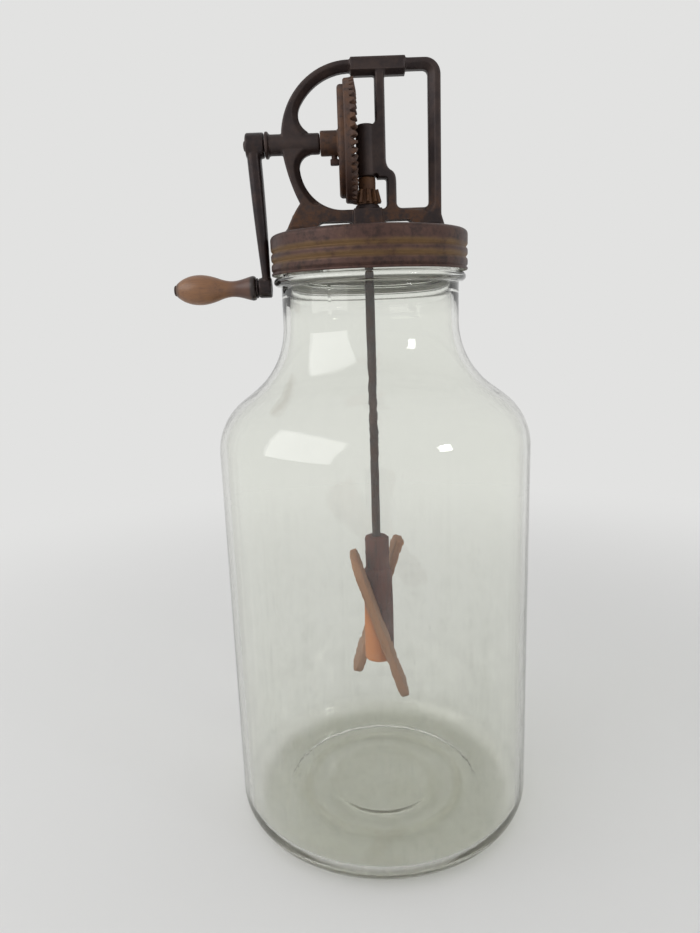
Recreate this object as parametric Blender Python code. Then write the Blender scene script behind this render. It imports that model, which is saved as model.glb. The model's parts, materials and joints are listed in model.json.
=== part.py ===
"""A hand-cranked butter churn: a glass jar, a screw lid of tin, and on the lid an iron frame
whose crank turns a wooden dasher through a pair of bevel gears.

Metres, +Z up. The origin is the centre of the jar's underside, and the dasher's rod runs up
the Z axis. The crank turns about a line parallel to X, and its handle hangs at the -X side.
"""

import math

import bmesh
import bpy
from mathutils import Matrix

MM = 0.001

# Shared allowances
FIT_GAP = 0.3 * MM
CUT_OVERRUN = 3.0 * MM

# Glass jar
JAR_HEIGHT = 449.0 * MM
JAR_RADIUS = 117.3 * MM
JAR_WALL = 5.0 * MM
JAR_FLOOR = 8.0 * MM
HEEL_RADIUS = 20.5 * MM
FOOT_RING_WIDTH = 16.0 * MM
PUNT_DEPTH = 1.5 * MM
PUNT_SLOPE = 2.0 * MM
CENTRE_PAD_RADIUS = 26.0 * MM
NECK_RADIUS = 64.8 * MM
NECK_LENGTH = 27.1 * MM
SEAT_RING_STEP = 4.0 * MM
SEAT_RING_HEIGHT = 6.4 * MM
FINISH_STEP = 1.2 * MM
FINISH_HEIGHT = 24.8 * MM
MOUTH_ROUND = 1.8 * MM
THREAD_DEPTH = 2.8 * MM
THREAD_WIDTH = 4.4 * MM
THREAD_LEAD = 8.0 * MM
THREAD_TURNS = 1.3
THREAD_CREST_SHARE = 1 / 3
SHOULDER_ROUND_SHARE = 0.87
NECK_SWEEP_SHARE = 1.137
SHOULDER_ANGLE = math.radians(53)

# Screw lid, its gasket and its fasteners
LID_SHEET = 0.8 * MM
LID_GROOVE_DEPTH = 1.3 * MM
LID_CORNER = 3.2 * MM
LID_RISE = 1.3 * MM
GASKET_THICKNESS = 2.6 * MM
LID_SKIRT_SHARES = (
    (0.0, 0.0),
    (0.05, 0.0),
    (0.085, 0.7),
    (0.15, 0.0),
    (0.23, 0.0),
    (0.32, 1.0),
    (0.40, 0.0),
    (0.48, 0.0),
    (0.57, 1.0),
    (0.66, 0.0),
)
NUT_ACROSS = 21.0 * MM
NUT_THICKNESS = 5.5 * MM
RIVET_RADIUS = 1.8 * MM
RIVET_HEAD_RADIUS = 3.8 * MM
RIVET_HEAD_HEIGHT = 1.7 * MM
RIVET_BITE = 6.0 * MM

# Iron frame
FRAME_HEIGHT = 114.2 * MM
FRAME_DEPTH = 12.0 * MM
EDGE_DEPTH = 5.0 * MM
EDGE_ROUND = 1.2 * MM
SHAFT_HEIGHT = 62.1 * MM
ARC_RADIUS = 49.2 * MM
ARC_OFFSET = 10.3 * MM
BAR_WIDTH = 8.7 * MM
TOP_BAR_WIDTH = 7.0 * MM
BEVEL_WIDTH = 4.3 * MM
STRUT_BEVEL = 1.0 * MM
RIGHT_REACH = 52.6 * MM
RIGHT_BAR_WIDTH = 8.6 * MM
OUTER_CORNER = 11.0 * MM
INNER_CORNER = 3.5 * MM
UPPER_FILLET = 12.5 * MM
LOWER_FILLET = 9.3 * MM
LOWER_SWEEP = 30.6 * MM
LIMB_WIDTH = 12.0 * MM
LIMB_BULGE = 7.8 * MM
LIMB_BULGE_HEIGHT = 14.7 * MM
WAIST_HEIGHT = 22.0 * MM
WAIST_INSET = 11.3 * MM
RAIL_RISE = 8.8 * MM
RAIL_DEPTH = 8.2 * MM
LEFT_TOE_SPREAD = 12.6 * MM
RIGHT_TOE_SPREAD = 4.2 * MM
FOOT_LENGTH = 20.0 * MM
FOOT_WIDTH = 22.0 * MM
FOOT_HEIGHT = 3.6 * MM
FOOT_CROWN = 11.0 * MM
FOOT_CROWN_SHARE = 0.4
INSTEP_SHARE = 0.46
INSTEP_HEIGHT_SHARE = 0.75
ANKLE_HEIGHT_SHARE = 1 / 3
STRUT_WIDTH = 7.1 * MM
STRUT_OVERLAP = 0.5 * MM
STRUT_JOG = 7.1 * MM
JOG_LOW = 34.8 * MM
JOG_HEIGHT = 16.0 * MM
BEARING_RADIUS = 7.1 * MM
FLANGE_RADIUS = 9.1 * MM
FLANGE_THICKNESS = 2.4 * MM
BOSS_RADIUS = 7.2 * MM
BOSS_ABOVE_SHAFT = 11.4 * MM
BOSS_BELOW_SHAFT = 23.5 * MM
BOSS_FILLET = 3.6 * MM
WEB_DROP = 1.6 * MM
WEB_SLEEVE_GAP = 0.9 * MM
WINDOW_FILLET = 3.0 * MM
NAME_PLATE_LENGTH = 37.8 * MM
NAME_PLATE_HEIGHT = 11.2 * MM
NAME_PLATE_DEPTH = 13.4 * MM
NAME_PLATE_OFFSET = 9.3 * MM
NAME_PLATE_PROUD = 1.4 * MM
NAME_PLATE_TAPER = 3.0 * MM
BLOCK_LENGTH = 20.6 * MM
BLOCK_DEPTH = 19.0 * MM
PIVOT_PAD_RADIUS = 9.0 * MM
SLEEVE_RADIUS = 6.6 * MM
SLEEVE_DROP = 9.5 * MM

# Bevel gears
GEAR_TEETH = 46
PINION_TEETH = 10
GEAR_MODULE = 1.79 * MM
GEAR_FACE = 9.2 * MM
PRESSURE_ANGLE = math.radians(20)
TOOTH_SHARE = 0.455
GEAR_ADDENDUM_SHARE = 0.5
PINION_ADDENDUM_SHARE = 0.9
ROOT_CLEARANCE_SHARE = 0.5
GEAR_RIM_BACK = 6.4 * MM
GEAR_PLATE_THICKNESS = 4.2 * MM
GEAR_PLATE_MARGIN = 4.4 * MM
GEAR_PLATE_ROUND = 2.4 * MM
GEAR_WEB_RECESS = 4.2 * MM
GEAR_HUB_RADIUS = 8.4 * MM
GEAR_HUB_LENGTH = 12.7 * MM
PINION_SLEEVE_RADIUS = 6.1 * MM
PINION_BASE = 0.7 * MM
SET_SCREW_RADIUS = 2.1 * MM
SET_SCREW_HEAD = 6.0 * MM
SET_SCREW_HEAD_HEIGHT = 3.8 * MM
SET_SCREW_STAND = 2.4 * MM
SET_SCREW_INSET = 3.0 * MM
PINION_PIN_RADIUS = 1.1 * MM

# Crank
SHAFT_RADIUS = 3.9 * MM
CRANK_RADIUS = 97.4 * MM
CRANK_LID_GAP = 0.8 * MM
CRANK_RUNNING_GAP = 0.7 * MM
CRANK_BOSS_RADIUS = 8.6 * MM
CRANK_BOSS_LENGTH = 13.0 * MM
CRANK_BOSS_ROUND = 1.6 * MM
CRANK_FOOT_RADIUS = 7.2 * MM
CRANK_FOOT_LENGTH = 9.6 * MM
CRANK_END_WALL = 2.2 * MM
ARM_THICK_TOP = 10.1 * MM
ARM_THICK_FOOT = 5.8 * MM
ARM_BROAD_TOP = 14.4 * MM
ARM_BROAD_FOOT = 11.0 * MM
ARM_INSET_TOP = 2.5 * MM
ARM_INSET_FOOT = 0.6 * MM
ARM_SHARES = (0.0, 0.35, 0.7, 1.0)
CRANK_SCREW_RADIUS = 2.0 * MM
CRANK_SCREW_HEAD_RADIUS = 3.6 * MM
CRANK_SCREW_HEAD_HEIGHT = 1.4 * MM
CRANK_SCREW_BITE = 7.0 * MM

# Handle
GRIP_LENGTH = 58.6 * MM
GRIP_RADIUS = 10.8 * MM
GRIP_SHARES = (
    (0.0, 0.72),
    (0.02, 0.80),
    (0.055, 0.81),
    (0.10, 0.74),
    (0.17, 0.63),
    (0.24, 0.55),
    (0.32, 0.53),
    (0.41, 0.62),
    (0.51, 0.81),
    (0.61, 0.95),
    (0.70, 1.0),
    (0.80, 0.955),
    (0.89, 0.80),
    (0.95, 0.62),
    (1.0, 0.40),
)
WASHER_THICKNESS = 1.2 * MM
WASHER_RADIUS = 7.2 * MM
WASHER_ROUND = 0.5 * MM
HANDLE_PIN_RADIUS = 2.8 * MM
HANDLE_PIN_HEAD_RADIUS = 3.9 * MM
HANDLE_PIN_HEAD_HEIGHT = 1.5 * MM

# Dasher
ROD_RADIUS = 3.2 * MM
ROD_TOP_CLEARANCE = 4.5 * MM
ROD_BITE = 75.0 * MM
DASHER_HEIGHT = 121.5 * MM
HUB_LOWER_HEIGHT = 75.5 * MM
HUB_UPPER_HEIGHT = 28.0 * MM
HUB_BASE_RADIUS = 12.2 * MM
HUB_SHOULDER_RADIUS = 11.4 * MM
HUB_UPPER_RADIUS = 9.1 * MM
HUB_ROUND = 2.0 * MM
HUB_PIN_RADIUS = 1.1 * MM
BLADE_LENGTH = 124.0 * MM
BLADE_REACH = 39.0 * MM
BLADE_INNER = 7.0 * MM
BLADE_THICKNESS = 6.0 * MM
BLADE_RISE = 36.5 * MM
BLADE_TILT = math.radians(18)
BLADE_OUTER_SHARES = ((0.45, 1.0), (0.72, 0.96), (0.9, 0.87), (1.0, 0.76))
BLADE_HEEL_SHARES = ((0.0, 0.80), (0.08, 0.91), (0.22, 0.98))

# Where the frame's arcs start and end, from +X towards +Z
UPPER_ARC_END = math.radians(150)
UPPER_FILLET_END = math.radians(240)
LOWER_FILLET_START = math.radians(100)
WIDE_BEVEL_END = math.radians(235)
QUARTER = math.pi / 2

# Powers of the rounded squares that the feet and the crank's arm are drawn with
FOOT_SQUARENESS = 4
ARM_SQUARENESS = 2.6

# Two edges that turn by less than this, as a sine, count as one straight line
PARALLEL_LIMIT = 0.45

# The exact solver leaves edges open where the bearing tube meets its flange
FRAME_SOLVER = "MANIFOLD"

# A hole's facets are turned by this much against those of the piece round it
BORE_TURN = math.radians(3.75)

# Facet counts
JAR_STEPS = 40
LID_STEPS = 40
FINE_STEPS = 24
SMALL_STEPS = 16
PIN_STEPS = 12
FOOT_STEPS = 16
ARC_STEPS = 6
SWEEP_STEPS = 10
HEEL_STEPS = 5
FILLET_STEPS = 4
CORNER_STEPS = 3
SMALL_CORNER_STEPS = 2
THREAD_FADE_STEPS = 4
ARM_STEPS = 12
FLANK_STEPS = 3
NUT_SIDES = 6

# Edges sharper than this look sharp, and points nearer than this are one
SMOOTH_ANGLE = math.radians(35)
WELD_DISTANCE = 0.001 * MM

# Heights that follow from the sizes above
MOUTH_RADIUS = NECK_RADIUS - JAR_WALL
FINISH_RADIUS = NECK_RADIUS + FINISH_STEP
SEAT_RING_TOP = JAR_HEIGHT - FINISH_HEIGHT
SEAT_RING_BOTTOM = SEAT_RING_TOP - SEAT_RING_HEIGHT
NECK_BOTTOM = SEAT_RING_BOTTOM - NECK_LENGTH
LID_INSIDE_Z = JAR_HEIGHT + FIT_GAP + GASKET_THICKNESS + FIT_GAP
LID_TOP_Z = LID_INSIDE_Z + LID_SHEET
LID_BASE_Z = SEAT_RING_TOP + LID_RISE
LID_RADIUS = FINISH_RADIUS + THREAD_DEPTH + FIT_GAP + LID_SHEET + LID_GROOVE_DEPTH
FRAME_BASE_Z = LID_TOP_Z + FIT_GAP
SHAFT_Z = FRAME_BASE_Z + SHAFT_HEIGHT

# Gear geometry: both pitch cones have their point where the two axes cross
GEAR_PITCH_RADIUS = GEAR_MODULE * GEAR_TEETH / 2
PINION_PITCH_RADIUS = GEAR_MODULE * PINION_TEETH / 2
CONE_DISTANCE = math.hypot(GEAR_PITCH_RADIUS, PINION_PITCH_RADIUS)
GEAR_CONE = math.atan2(GEAR_TEETH, PINION_TEETH)
PINION_CONE = math.atan2(PINION_TEETH, GEAR_TEETH)
GEAR_BACK_X = -(PINION_PITCH_RADIUS + GEAR_RIM_BACK + GEAR_PLATE_THICKNESS)
GEAR_HUB_X = GEAR_BACK_X - GEAR_HUB_LENGTH
PINION_BASE_Z = SHAFT_Z - CONE_DISTANCE * math.cos(PINION_CONE) - PINION_BASE

# Crank places along X
CRANK_FACE_X = -(LID_RADIUS + CRANK_LID_GAP)
BEARING_FACE_X = CRANK_FACE_X + CRANK_RUNNING_GAP
BEARING_END_X = GEAR_HUB_X - FIT_GAP
GRIP_FACE_X = CRANK_FACE_X - CRANK_FOOT_LENGTH - FIT_GAP - WASHER_THICKNESS - FIT_GAP

# Dasher places
HUB_TOP_Z = DASHER_HEIGHT + HUB_LOWER_HEIGHT + HUB_UPPER_HEIGHT
BOSS_TOP_Z = SHAFT_Z + BOSS_ABOVE_SHAFT
ROD_TOP_Z = BOSS_TOP_Z - ROD_TOP_CLEARANCE
ROD_BOTTOM_Z = HUB_TOP_Z - ROD_BITE


def clear_scene():
    for existing in list(bpy.data.objects):
        bpy.data.objects.remove(existing, do_unlink=True)


def paint(name, colour, roughness, metallic=0.0, alpha=1.0):
    """A Principled material of one colour."""
    material = bpy.data.materials.new(name)
    material.use_nodes = True
    shader = material.node_tree.nodes["Principled BSDF"]
    shader.inputs["Base Color"].default_value = (*colour, 1.0)
    shader.inputs["Roughness"].default_value = roughness
    shader.inputs["Metallic"].default_value = metallic
    shader.inputs["Alpha"].default_value = alpha
    material.diffuse_color = (*colour, alpha)
    return material


def axis_empty(name, location, parent=None):
    """An empty that stands on a joint's axis and carries the pieces that turn there."""
    empty = bpy.data.objects.new(name, None)
    bpy.context.scene.collection.objects.link(empty)
    empty.parent = parent
    empty.location = location
    return empty


def add_object(name, shape, material=None, parent=None, location=(0, 0, 0), rotation=(0, 0, 0)):
    """Turn a finished bmesh into an object, smooth where its faces meet at a low angle."""
    bmesh.ops.remove_doubles(shape, verts=shape.verts, dist=WELD_DISTANCE)
    bmesh.ops.recalc_face_normals(shape, faces=shape.faces)
    mesh = bpy.data.meshes.new(name)
    shape.to_mesh(mesh)
    shape.free()
    if material:
        mesh.materials.append(material)
    mesh.shade_smooth()
    mesh.set_sharp_from_angle(angle=SMOOTH_ANGLE)
    made = bpy.data.objects.new(name, mesh)
    bpy.context.scene.collection.objects.link(made)
    made.parent = parent
    made.location = location
    made.rotation_euler = rotation
    return made


def combine(target, helper, operation, solver="EXACT"):
    """Cut a helper out of a piece, or fuse it on; the helper itself isn't a piece."""
    helper.hide_render = True
    helper.display_type = "WIRE"
    modifier = target.modifiers.new(helper.name, "BOOLEAN")
    modifier.operation = operation
    modifier.object = helper
    modifier.solver = solver


def even_shading(target):
    """Keep flat faces flat to the eye where a Boolean has cut rounded edges into them."""
    modifier = target.modifiers.new("even_shading", "WEIGHTED_NORMAL")
    modifier.keep_sharp = True


def cut(target, helper, solver="EXACT"):
    combine(target, helper, "DIFFERENCE", solver)


def fuse(target, helper, solver="EXACT"):
    combine(target, helper, "UNION", solver)


def turned(outline, steps):
    """Spin a list of (radius, height) about Z. It is a closed ring, or it ends on the axis."""
    shape = bmesh.new()
    points = [shape.verts.new((radius, 0, height)) for radius, height in outline]
    edges = [shape.edges.new(pair) for pair in zip(points, points[1:])]
    if outline[0][0] > 0:
        edges.append(shape.edges.new((points[-1], points[0])))
    bmesh.ops.spin(
        shape,
        geom=points + edges,
        axis=(0, 0, 1),
        cent=(0, 0, 0),
        angle=math.tau,
        steps=steps,
        use_merge=True,
    )
    return shape


def rod_shape(radius, start, end, steps):
    """A plain cylinder about Z between two heights."""
    return turned([(0, start), (radius, start), (radius, end), (0, end)], steps)


def bore_shape(radius, start, end, steps):
    """A cylinder that cuts a round hole. It is turned a little, so that its corners miss the
    lines between the facets of what it cuts."""
    shape = rod_shape(radius + FIT_GAP, start, end, steps)
    turn = Matrix.Rotation(BORE_TURN, 3, "Z")
    bmesh.ops.rotate(shape, verts=shape.verts, cent=(0, 0, 0), matrix=turn)
    return shape


def domed_shape(radius, start, end, rounding, steps):
    """A cylinder about Z whose far end is rounded over."""
    crown = arc(radius - rounding, end - rounding, rounding, 0, QUARTER, CORNER_STEPS)
    return turned([(0, start), (radius, start), *crown, (0, end)], steps)


def prism(outline, low, high):
    """Extrude an (x, z) outline along Y."""
    shape = bmesh.new()
    points = [shape.verts.new((x, low, z)) for x, z in outline]
    face = shape.faces.new(points)
    made = bmesh.ops.extrude_face_region(shape, geom=[face])
    moved = [item for item in made["geom"] if isinstance(item, bmesh.types.BMVert)]
    bmesh.ops.translate(shape, verts=moved, vec=(0, high - low, 0))
    return shape


def lofted(sections):
    """Join sections of equal point counts, with a cap on the first and the last."""
    shape = bmesh.new()
    rings = [[shape.verts.new(point) for point in section] for section in sections]
    for near, far in zip(rings, rings[1:]):
        for index in range(len(near)):
            after = (index + 1) % len(near)
            shape.faces.new((near[index], near[after], far[after], far[index]))
    shape.faces.new(rings[0])
    shape.faces.new(rings[-1])
    shape.normal_update()
    bmesh.ops.triangulate(shape, faces=shape.faces[:])
    return shape


def block_shape(low, high, rounding=0.0):
    """A box between two corners, its edges bevelled by the rounding."""
    shape = bmesh.new()
    size = [b - a for a, b in zip(low, high)]
    centre = [(a + b) / 2 for a, b in zip(low, high)]
    matrix = Matrix.Translation(centre) @ Matrix.Diagonal((*size, 1))
    bmesh.ops.create_cube(shape, size=1, matrix=matrix)
    if rounding > 0:
        bmesh.ops.bevel(
            shape, geom=shape.edges[:], offset=rounding, segments=2, profile=0.5, affect="EDGES"
        )
    return shape


def arc(centre_x, centre_z, radius, start, end, steps=ARC_STEPS):
    """Points on an arc, both ends included; angles run from +X towards +Z."""
    angles = [start + (end - start) * step / steps for step in range(steps + 1)]
    return [(centre_x + radius * math.cos(a), centre_z + radius * math.sin(a)) for a in angles]


def curve_through(start, control, end, steps=ARC_STEPS):
    """Points on the quadratic curve from start to end that leans towards control."""
    points = []
    for step in range(steps + 1):
        t = step / steps
        weighed = list(zip(((1 - t) ** 2, 2 * t * (1 - t), t * t), (start, control, end)))
        points.append(tuple(sum(weight * point[way] for weight, point in weighed) for way in (0, 1)))
    return points


def pushed_out(outline, widths):
    """Move each edge of a counter-clockwise (x, z) outline outwards by its own width. An edge
    runs from the point of its number to the next."""
    count = len(outline)
    normals = []
    for index, (x, z) in enumerate(outline):
        after = outline[(index + 1) % count]
        length = math.hypot(after[0] - x, after[1] - z)
        normals.append(((after[1] - z) / length, (x - after[0]) / length))
    moved = []
    for index, (x, z) in enumerate(outline):
        first, second = normals[index - 1], normals[index]
        near, far = widths[index - 1], widths[index]
        cross = first[0] * second[1] - first[1] * second[0]
        if abs(cross) < PARALLEL_LIMIT:
            along = 1 + first[0] * second[0] + first[1] * second[1]
            step_x = (first[0] + second[0]) / along * (near + far) / 2
            step_z = (first[1] + second[1]) / along * (near + far) / 2
        else:
            step_x = (near * second[1] - far * first[1]) / cross
            step_z = (far * first[0] - near * second[0]) / cross
        moved.append((x + step_x, z + step_z))
    return moved


def shoulder_arcs(offset):
    """The jar's shoulder and the sweep into its neck, moved inwards by an offset."""
    step = JAR_RADIUS - NECK_RADIUS
    shoulder = SHOULDER_ROUND_SHARE * step
    sweep = NECK_SWEEP_SHARE * step
    turn = SHOULDER_ANGLE
    slope = (step - (shoulder + sweep) * (1 - math.cos(turn))) / math.sin(turn)
    rise = (shoulder + sweep) * math.sin(turn) + slope * math.cos(turn)
    start = NECK_BOTTOM - rise
    lower = arc(JAR_RADIUS - shoulder, start, shoulder - offset, 0, turn)
    upper = arc(NECK_RADIUS + sweep, NECK_BOTTOM, sweep + offset, math.pi + turn, math.pi)
    return lower + upper


def jar_outline():
    foot_outer = JAR_RADIUS - HEEL_RADIUS
    foot_inner = foot_outer - FOOT_RING_WIDTH
    inner_heel = HEEL_RADIUS - JAR_WALL
    under = [
        (0, 0),
        (CENTRE_PAD_RADIUS, 0),
        (CENTRE_PAD_RADIUS + PUNT_SLOPE, PUNT_DEPTH),
        (foot_inner - PUNT_SLOPE, PUNT_DEPTH),
        (foot_inner, 0),
    ]
    heel = arc(foot_outer, HEEL_RADIUS, HEEL_RADIUS, -QUARTER, 0, HEEL_STEPS)
    ring_radius = SEAT_RING_HEIGHT / 2
    ring_centre = FINISH_RADIUS + SEAT_RING_STEP - ring_radius
    ring_middle = SEAT_RING_BOTTOM + ring_radius
    ring = arc(ring_centre, ring_middle, ring_radius, -QUARTER, QUARTER, FILLET_STEPS)
    seat = [(NECK_RADIUS, SEAT_RING_BOTTOM), *ring, (FINISH_RADIUS, SEAT_RING_TOP)]
    lip_z = JAR_HEIGHT - MOUTH_ROUND
    lip = arc(FINISH_RADIUS - MOUTH_ROUND, lip_z, MOUTH_ROUND, 0, QUARTER, SMALL_CORNER_STEPS)
    lip += arc(MOUTH_RADIUS + MOUTH_ROUND, lip_z, MOUTH_ROUND, QUARTER, math.pi, SMALL_CORNER_STEPS)
    inside = list(reversed(shoulder_arcs(JAR_WALL)))
    inner_heel_arc = arc(foot_outer, JAR_FLOOR + inner_heel, inner_heel, 0, -QUARTER, FILLET_STEPS)
    return under + heel + shoulder_arcs(0) + seat + lip + inside + inner_heel_arc + [(0, JAR_FLOOR)]


def thread_shape():
    """A rounded helical ridge on the jar's finish that runs out into the glass at both ends."""
    steps = round(FINE_STEPS * THREAD_TURNS)
    rise = THREAD_LEAD * THREAD_TURNS
    start = (SEAT_RING_TOP + JAR_HEIGHT - rise) / 2
    sections = []
    for step in range(steps + 1):
        angle = math.tau * THREAD_TURNS * step / steps
        height = start + rise * step / steps
        fade = min(1, step / THREAD_FADE_STEPS, (steps - step) / THREAD_FADE_STEPS)
        crest = FINISH_RADIUS - FIT_GAP + (THREAD_DEPTH + FIT_GAP) * fade
        root = FINISH_RADIUS - MOUTH_ROUND
        half = THREAD_WIDTH / 2
        top = half * THREAD_CREST_SHARE
        profile = ((root, -half), (crest, -top), (crest, top), (root, half))
        sections.append(
            [(r * math.cos(angle), r * math.sin(angle), height + z) for r, z in profile]
        )
    return lofted(sections)


def make_jar(glass):
    jar = add_object("glass_jar", turned(jar_outline(), JAR_STEPS), glass)
    fuse(jar, add_object("jar_thread_helper", thread_shape()))


def lid_outline():
    """The tin's section from the lower edge up, local z from 0 at that edge."""
    height = LID_TOP_Z - LID_BASE_Z
    skirt = [
        (LID_RADIUS - depth * LID_GROOVE_DEPTH, share * height) for share, depth in LID_SKIRT_SHARES
    ]
    corner_x = LID_RADIUS - LID_CORNER
    corner_z = height - LID_CORNER
    hole = SLEEVE_RADIUS + FIT_GAP
    outer = skirt + arc(corner_x, corner_z, LID_CORNER, 0, QUARTER, CORNER_STEPS) + [(hole, height)]
    inner_corner = arc(corner_x, corner_z, LID_CORNER - LID_SHEET, QUARTER, 0, CORNER_STEPS)
    inner_skirt = [(radius - LID_SHEET, z) for radius, z in reversed(skirt)]
    return outer + [(hole, height - LID_SHEET)] + inner_corner + inner_skirt


def foot_rivet_places():
    """X of the two rivets, each under the middle of a foot."""
    left_toe, right_toe = toe_places()
    return left_toe + FOOT_LENGTH / 2, right_toe - FOOT_LENGTH / 2


def make_lid(tin, cork, steel, lid_axis):
    lid = add_object("screw_lid", turned(lid_outline(), LID_STEPS), tin, lid_axis)
    height = LID_TOP_Z - LID_BASE_Z
    for side, x in zip(("left", "right"), foot_rivet_places()):
        start = height - LID_SHEET - CUT_OVERRUN
        hole = bore_shape(RIVET_RADIUS, start, height + CUT_OVERRUN, PIN_STEPS)
        cut(lid, add_object(f"lid_rivet_hole_{side}", hole, None, lid_axis, (x, 0, 0)))
    make_gasket(cork, lid_axis)
    make_nut(steel, lid_axis)
    make_rivets(steel, lid_axis)


def make_gasket(cork, lid_axis):
    low = JAR_HEIGHT + FIT_GAP - LID_BASE_Z
    high = low + GASKET_THICKNESS
    outer = LID_RADIUS - LID_CORNER
    outline = [(MOUTH_RADIUS, low), (outer, low), (outer, high), (MOUTH_RADIUS, high)]
    add_object("lid_gasket", turned(outline, LID_STEPS), cork, lid_axis)


def make_nut(steel, lid_axis):
    high = LID_INSIDE_Z - FIT_GAP - LID_BASE_Z
    low = high - NUT_THICKNESS
    corner = NUT_ACROSS / 2 / math.cos(math.pi / NUT_SIDES)
    nut = add_object("frame_nut", rod_shape(corner, low, high, NUT_SIDES), steel, lid_axis)
    bore = bore_shape(SLEEVE_RADIUS, low - CUT_OVERRUN, high + CUT_OVERRUN, SMALL_STEPS)
    cut(nut, add_object("nut_bore", bore, None, lid_axis))


def make_rivets(steel, lid_axis):
    seat = LID_INSIDE_Z - FIT_GAP - LID_BASE_Z
    tip = LID_TOP_Z + FIT_GAP + RIVET_BITE - LID_BASE_Z
    head_low = seat - RIVET_HEAD_HEIGHT
    outline = [
        (0, head_low),
        (RIVET_RADIUS, head_low),
        (RIVET_HEAD_RADIUS, seat - RIVET_HEAD_HEIGHT / 3),
        (RIVET_HEAD_RADIUS, seat),
        (RIVET_RADIUS, seat),
        (RIVET_RADIUS, tip),
        (0, tip),
    ]
    for side, x in zip(("left", "right"), foot_rivet_places()):
        add_object(f"foot_rivet_{side}", turned(outline, PIN_STEPS), steel, lid_axis, (x, 0, 0))


def toe_places():
    """X of the outermost point of each foot."""
    arc_left = -(ARC_OFFSET + ARC_RADIUS)
    return arc_left + WAIST_INSET - LEFT_TOE_SPREAD, RIGHT_REACH + RIGHT_TOE_SPREAD


def frame_outline():
    """The frame's outer edge, seen from the front, with z from 0 at the lid. Counter-clockwise."""
    arc_z = FRAME_HEIGHT - ARC_RADIUS
    arc_left = -(ARC_OFFSET + ARC_RADIUS)
    waist = (arc_left + WAIST_INSET, WAIST_HEIGHT)
    left_toe, right_toe = toe_places()
    base = FOOT_HEIGHT / 2
    right_side = [
        (right_toe - EDGE_ROUND, base),
        (RIGHT_REACH, RAIL_RISE + RAIL_DEPTH * ANKLE_HEIGHT_SHARE),
    ]
    corner_x = RIGHT_REACH - OUTER_CORNER
    corner = arc(corner_x, FRAME_HEIGHT - OUTER_CORNER, OUTER_CORNER, 0, QUARTER, FILLET_STEPS)
    sweep = arc(-ARC_OFFSET, arc_z, ARC_RADIUS, QUARTER, math.pi, SWEEP_STEPS)
    limb_top = (arc_left, SHAFT_HEIGHT - BEARING_RADIUS / 2)
    bulge = (waist[0] - LIMB_BULGE, WAIST_HEIGHT + LIMB_BULGE_HEIGHT)
    limb = curve_through(limb_top, bulge, waist, FILLET_STEPS)
    instep_x = waist[0] - LEFT_TOE_SPREAD * INSTEP_SHARE
    instep = (instep_x, RAIL_RISE + RAIL_DEPTH * INSTEP_HEIGHT_SHARE)
    foot = curve_through(waist, instep, (left_toe + EDGE_ROUND, base), FILLET_STEPS)
    return right_side + corner + sweep + limb + foot[1:]


def arched_edge(inner, arc_z):
    """The left window's upper side: under the arc, round the fillet and down to the sweep."""
    fillet_x = -ARC_OFFSET + (inner - UPPER_FILLET) * math.cos(UPPER_ARC_END)
    fillet_z = arc_z + (inner - UPPER_FILLET) * math.sin(UPPER_ARC_END)
    lower_x = -(ARC_OFFSET + ARC_RADIUS) + LIMB_WIDTH + LOWER_FILLET
    lower_z = SHAFT_HEIGHT - BEARING_RADIUS - LOWER_FILLET
    edge = arc(-ARC_OFFSET, arc_z, inner, QUARTER, UPPER_ARC_END, ARC_STEPS)
    edge += arc(fillet_x, fillet_z, UPPER_FILLET, UPPER_ARC_END, UPPER_FILLET_END)[1:]
    return edge + arc(lower_x, lower_z, LOWER_FILLET, LOWER_FILLET_START, math.pi, FILLET_STEPS)


def web_edge(low_left, strut_left):
    """The left window's right side: up the low strut, under the web and round the boss."""
    boss_low = SHAFT_HEIGHT - BOSS_BELOW_SHAFT
    web_low = boss_low - WEB_DROP
    beside_boss = boss_low + EDGE_ROUND / 2
    above_boss = SHAFT_HEIGHT + BOSS_ABOVE_SHAFT - EDGE_ROUND / 2
    sleeve_side = PINION_SLEEVE_RADIUS + WEB_SLEEVE_GAP
    corner_x = low_left - EDGE_ROUND
    edge = arc(corner_x, web_low - EDGE_ROUND, EDGE_ROUND, 0, QUARTER, SMALL_CORNER_STEPS)
    edge += [(sleeve_side, web_low), (sleeve_side, beside_boss)]
    edge += [(-BOSS_RADIUS / 2, beside_boss), (-BOSS_RADIUS / 2, above_boss)]
    fillet_z = above_boss + BOSS_FILLET
    return edge + arc(strut_left - BOSS_FILLET, fillet_z, BOSS_FILLET, -QUARTER, 0, CORNER_STEPS)


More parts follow.
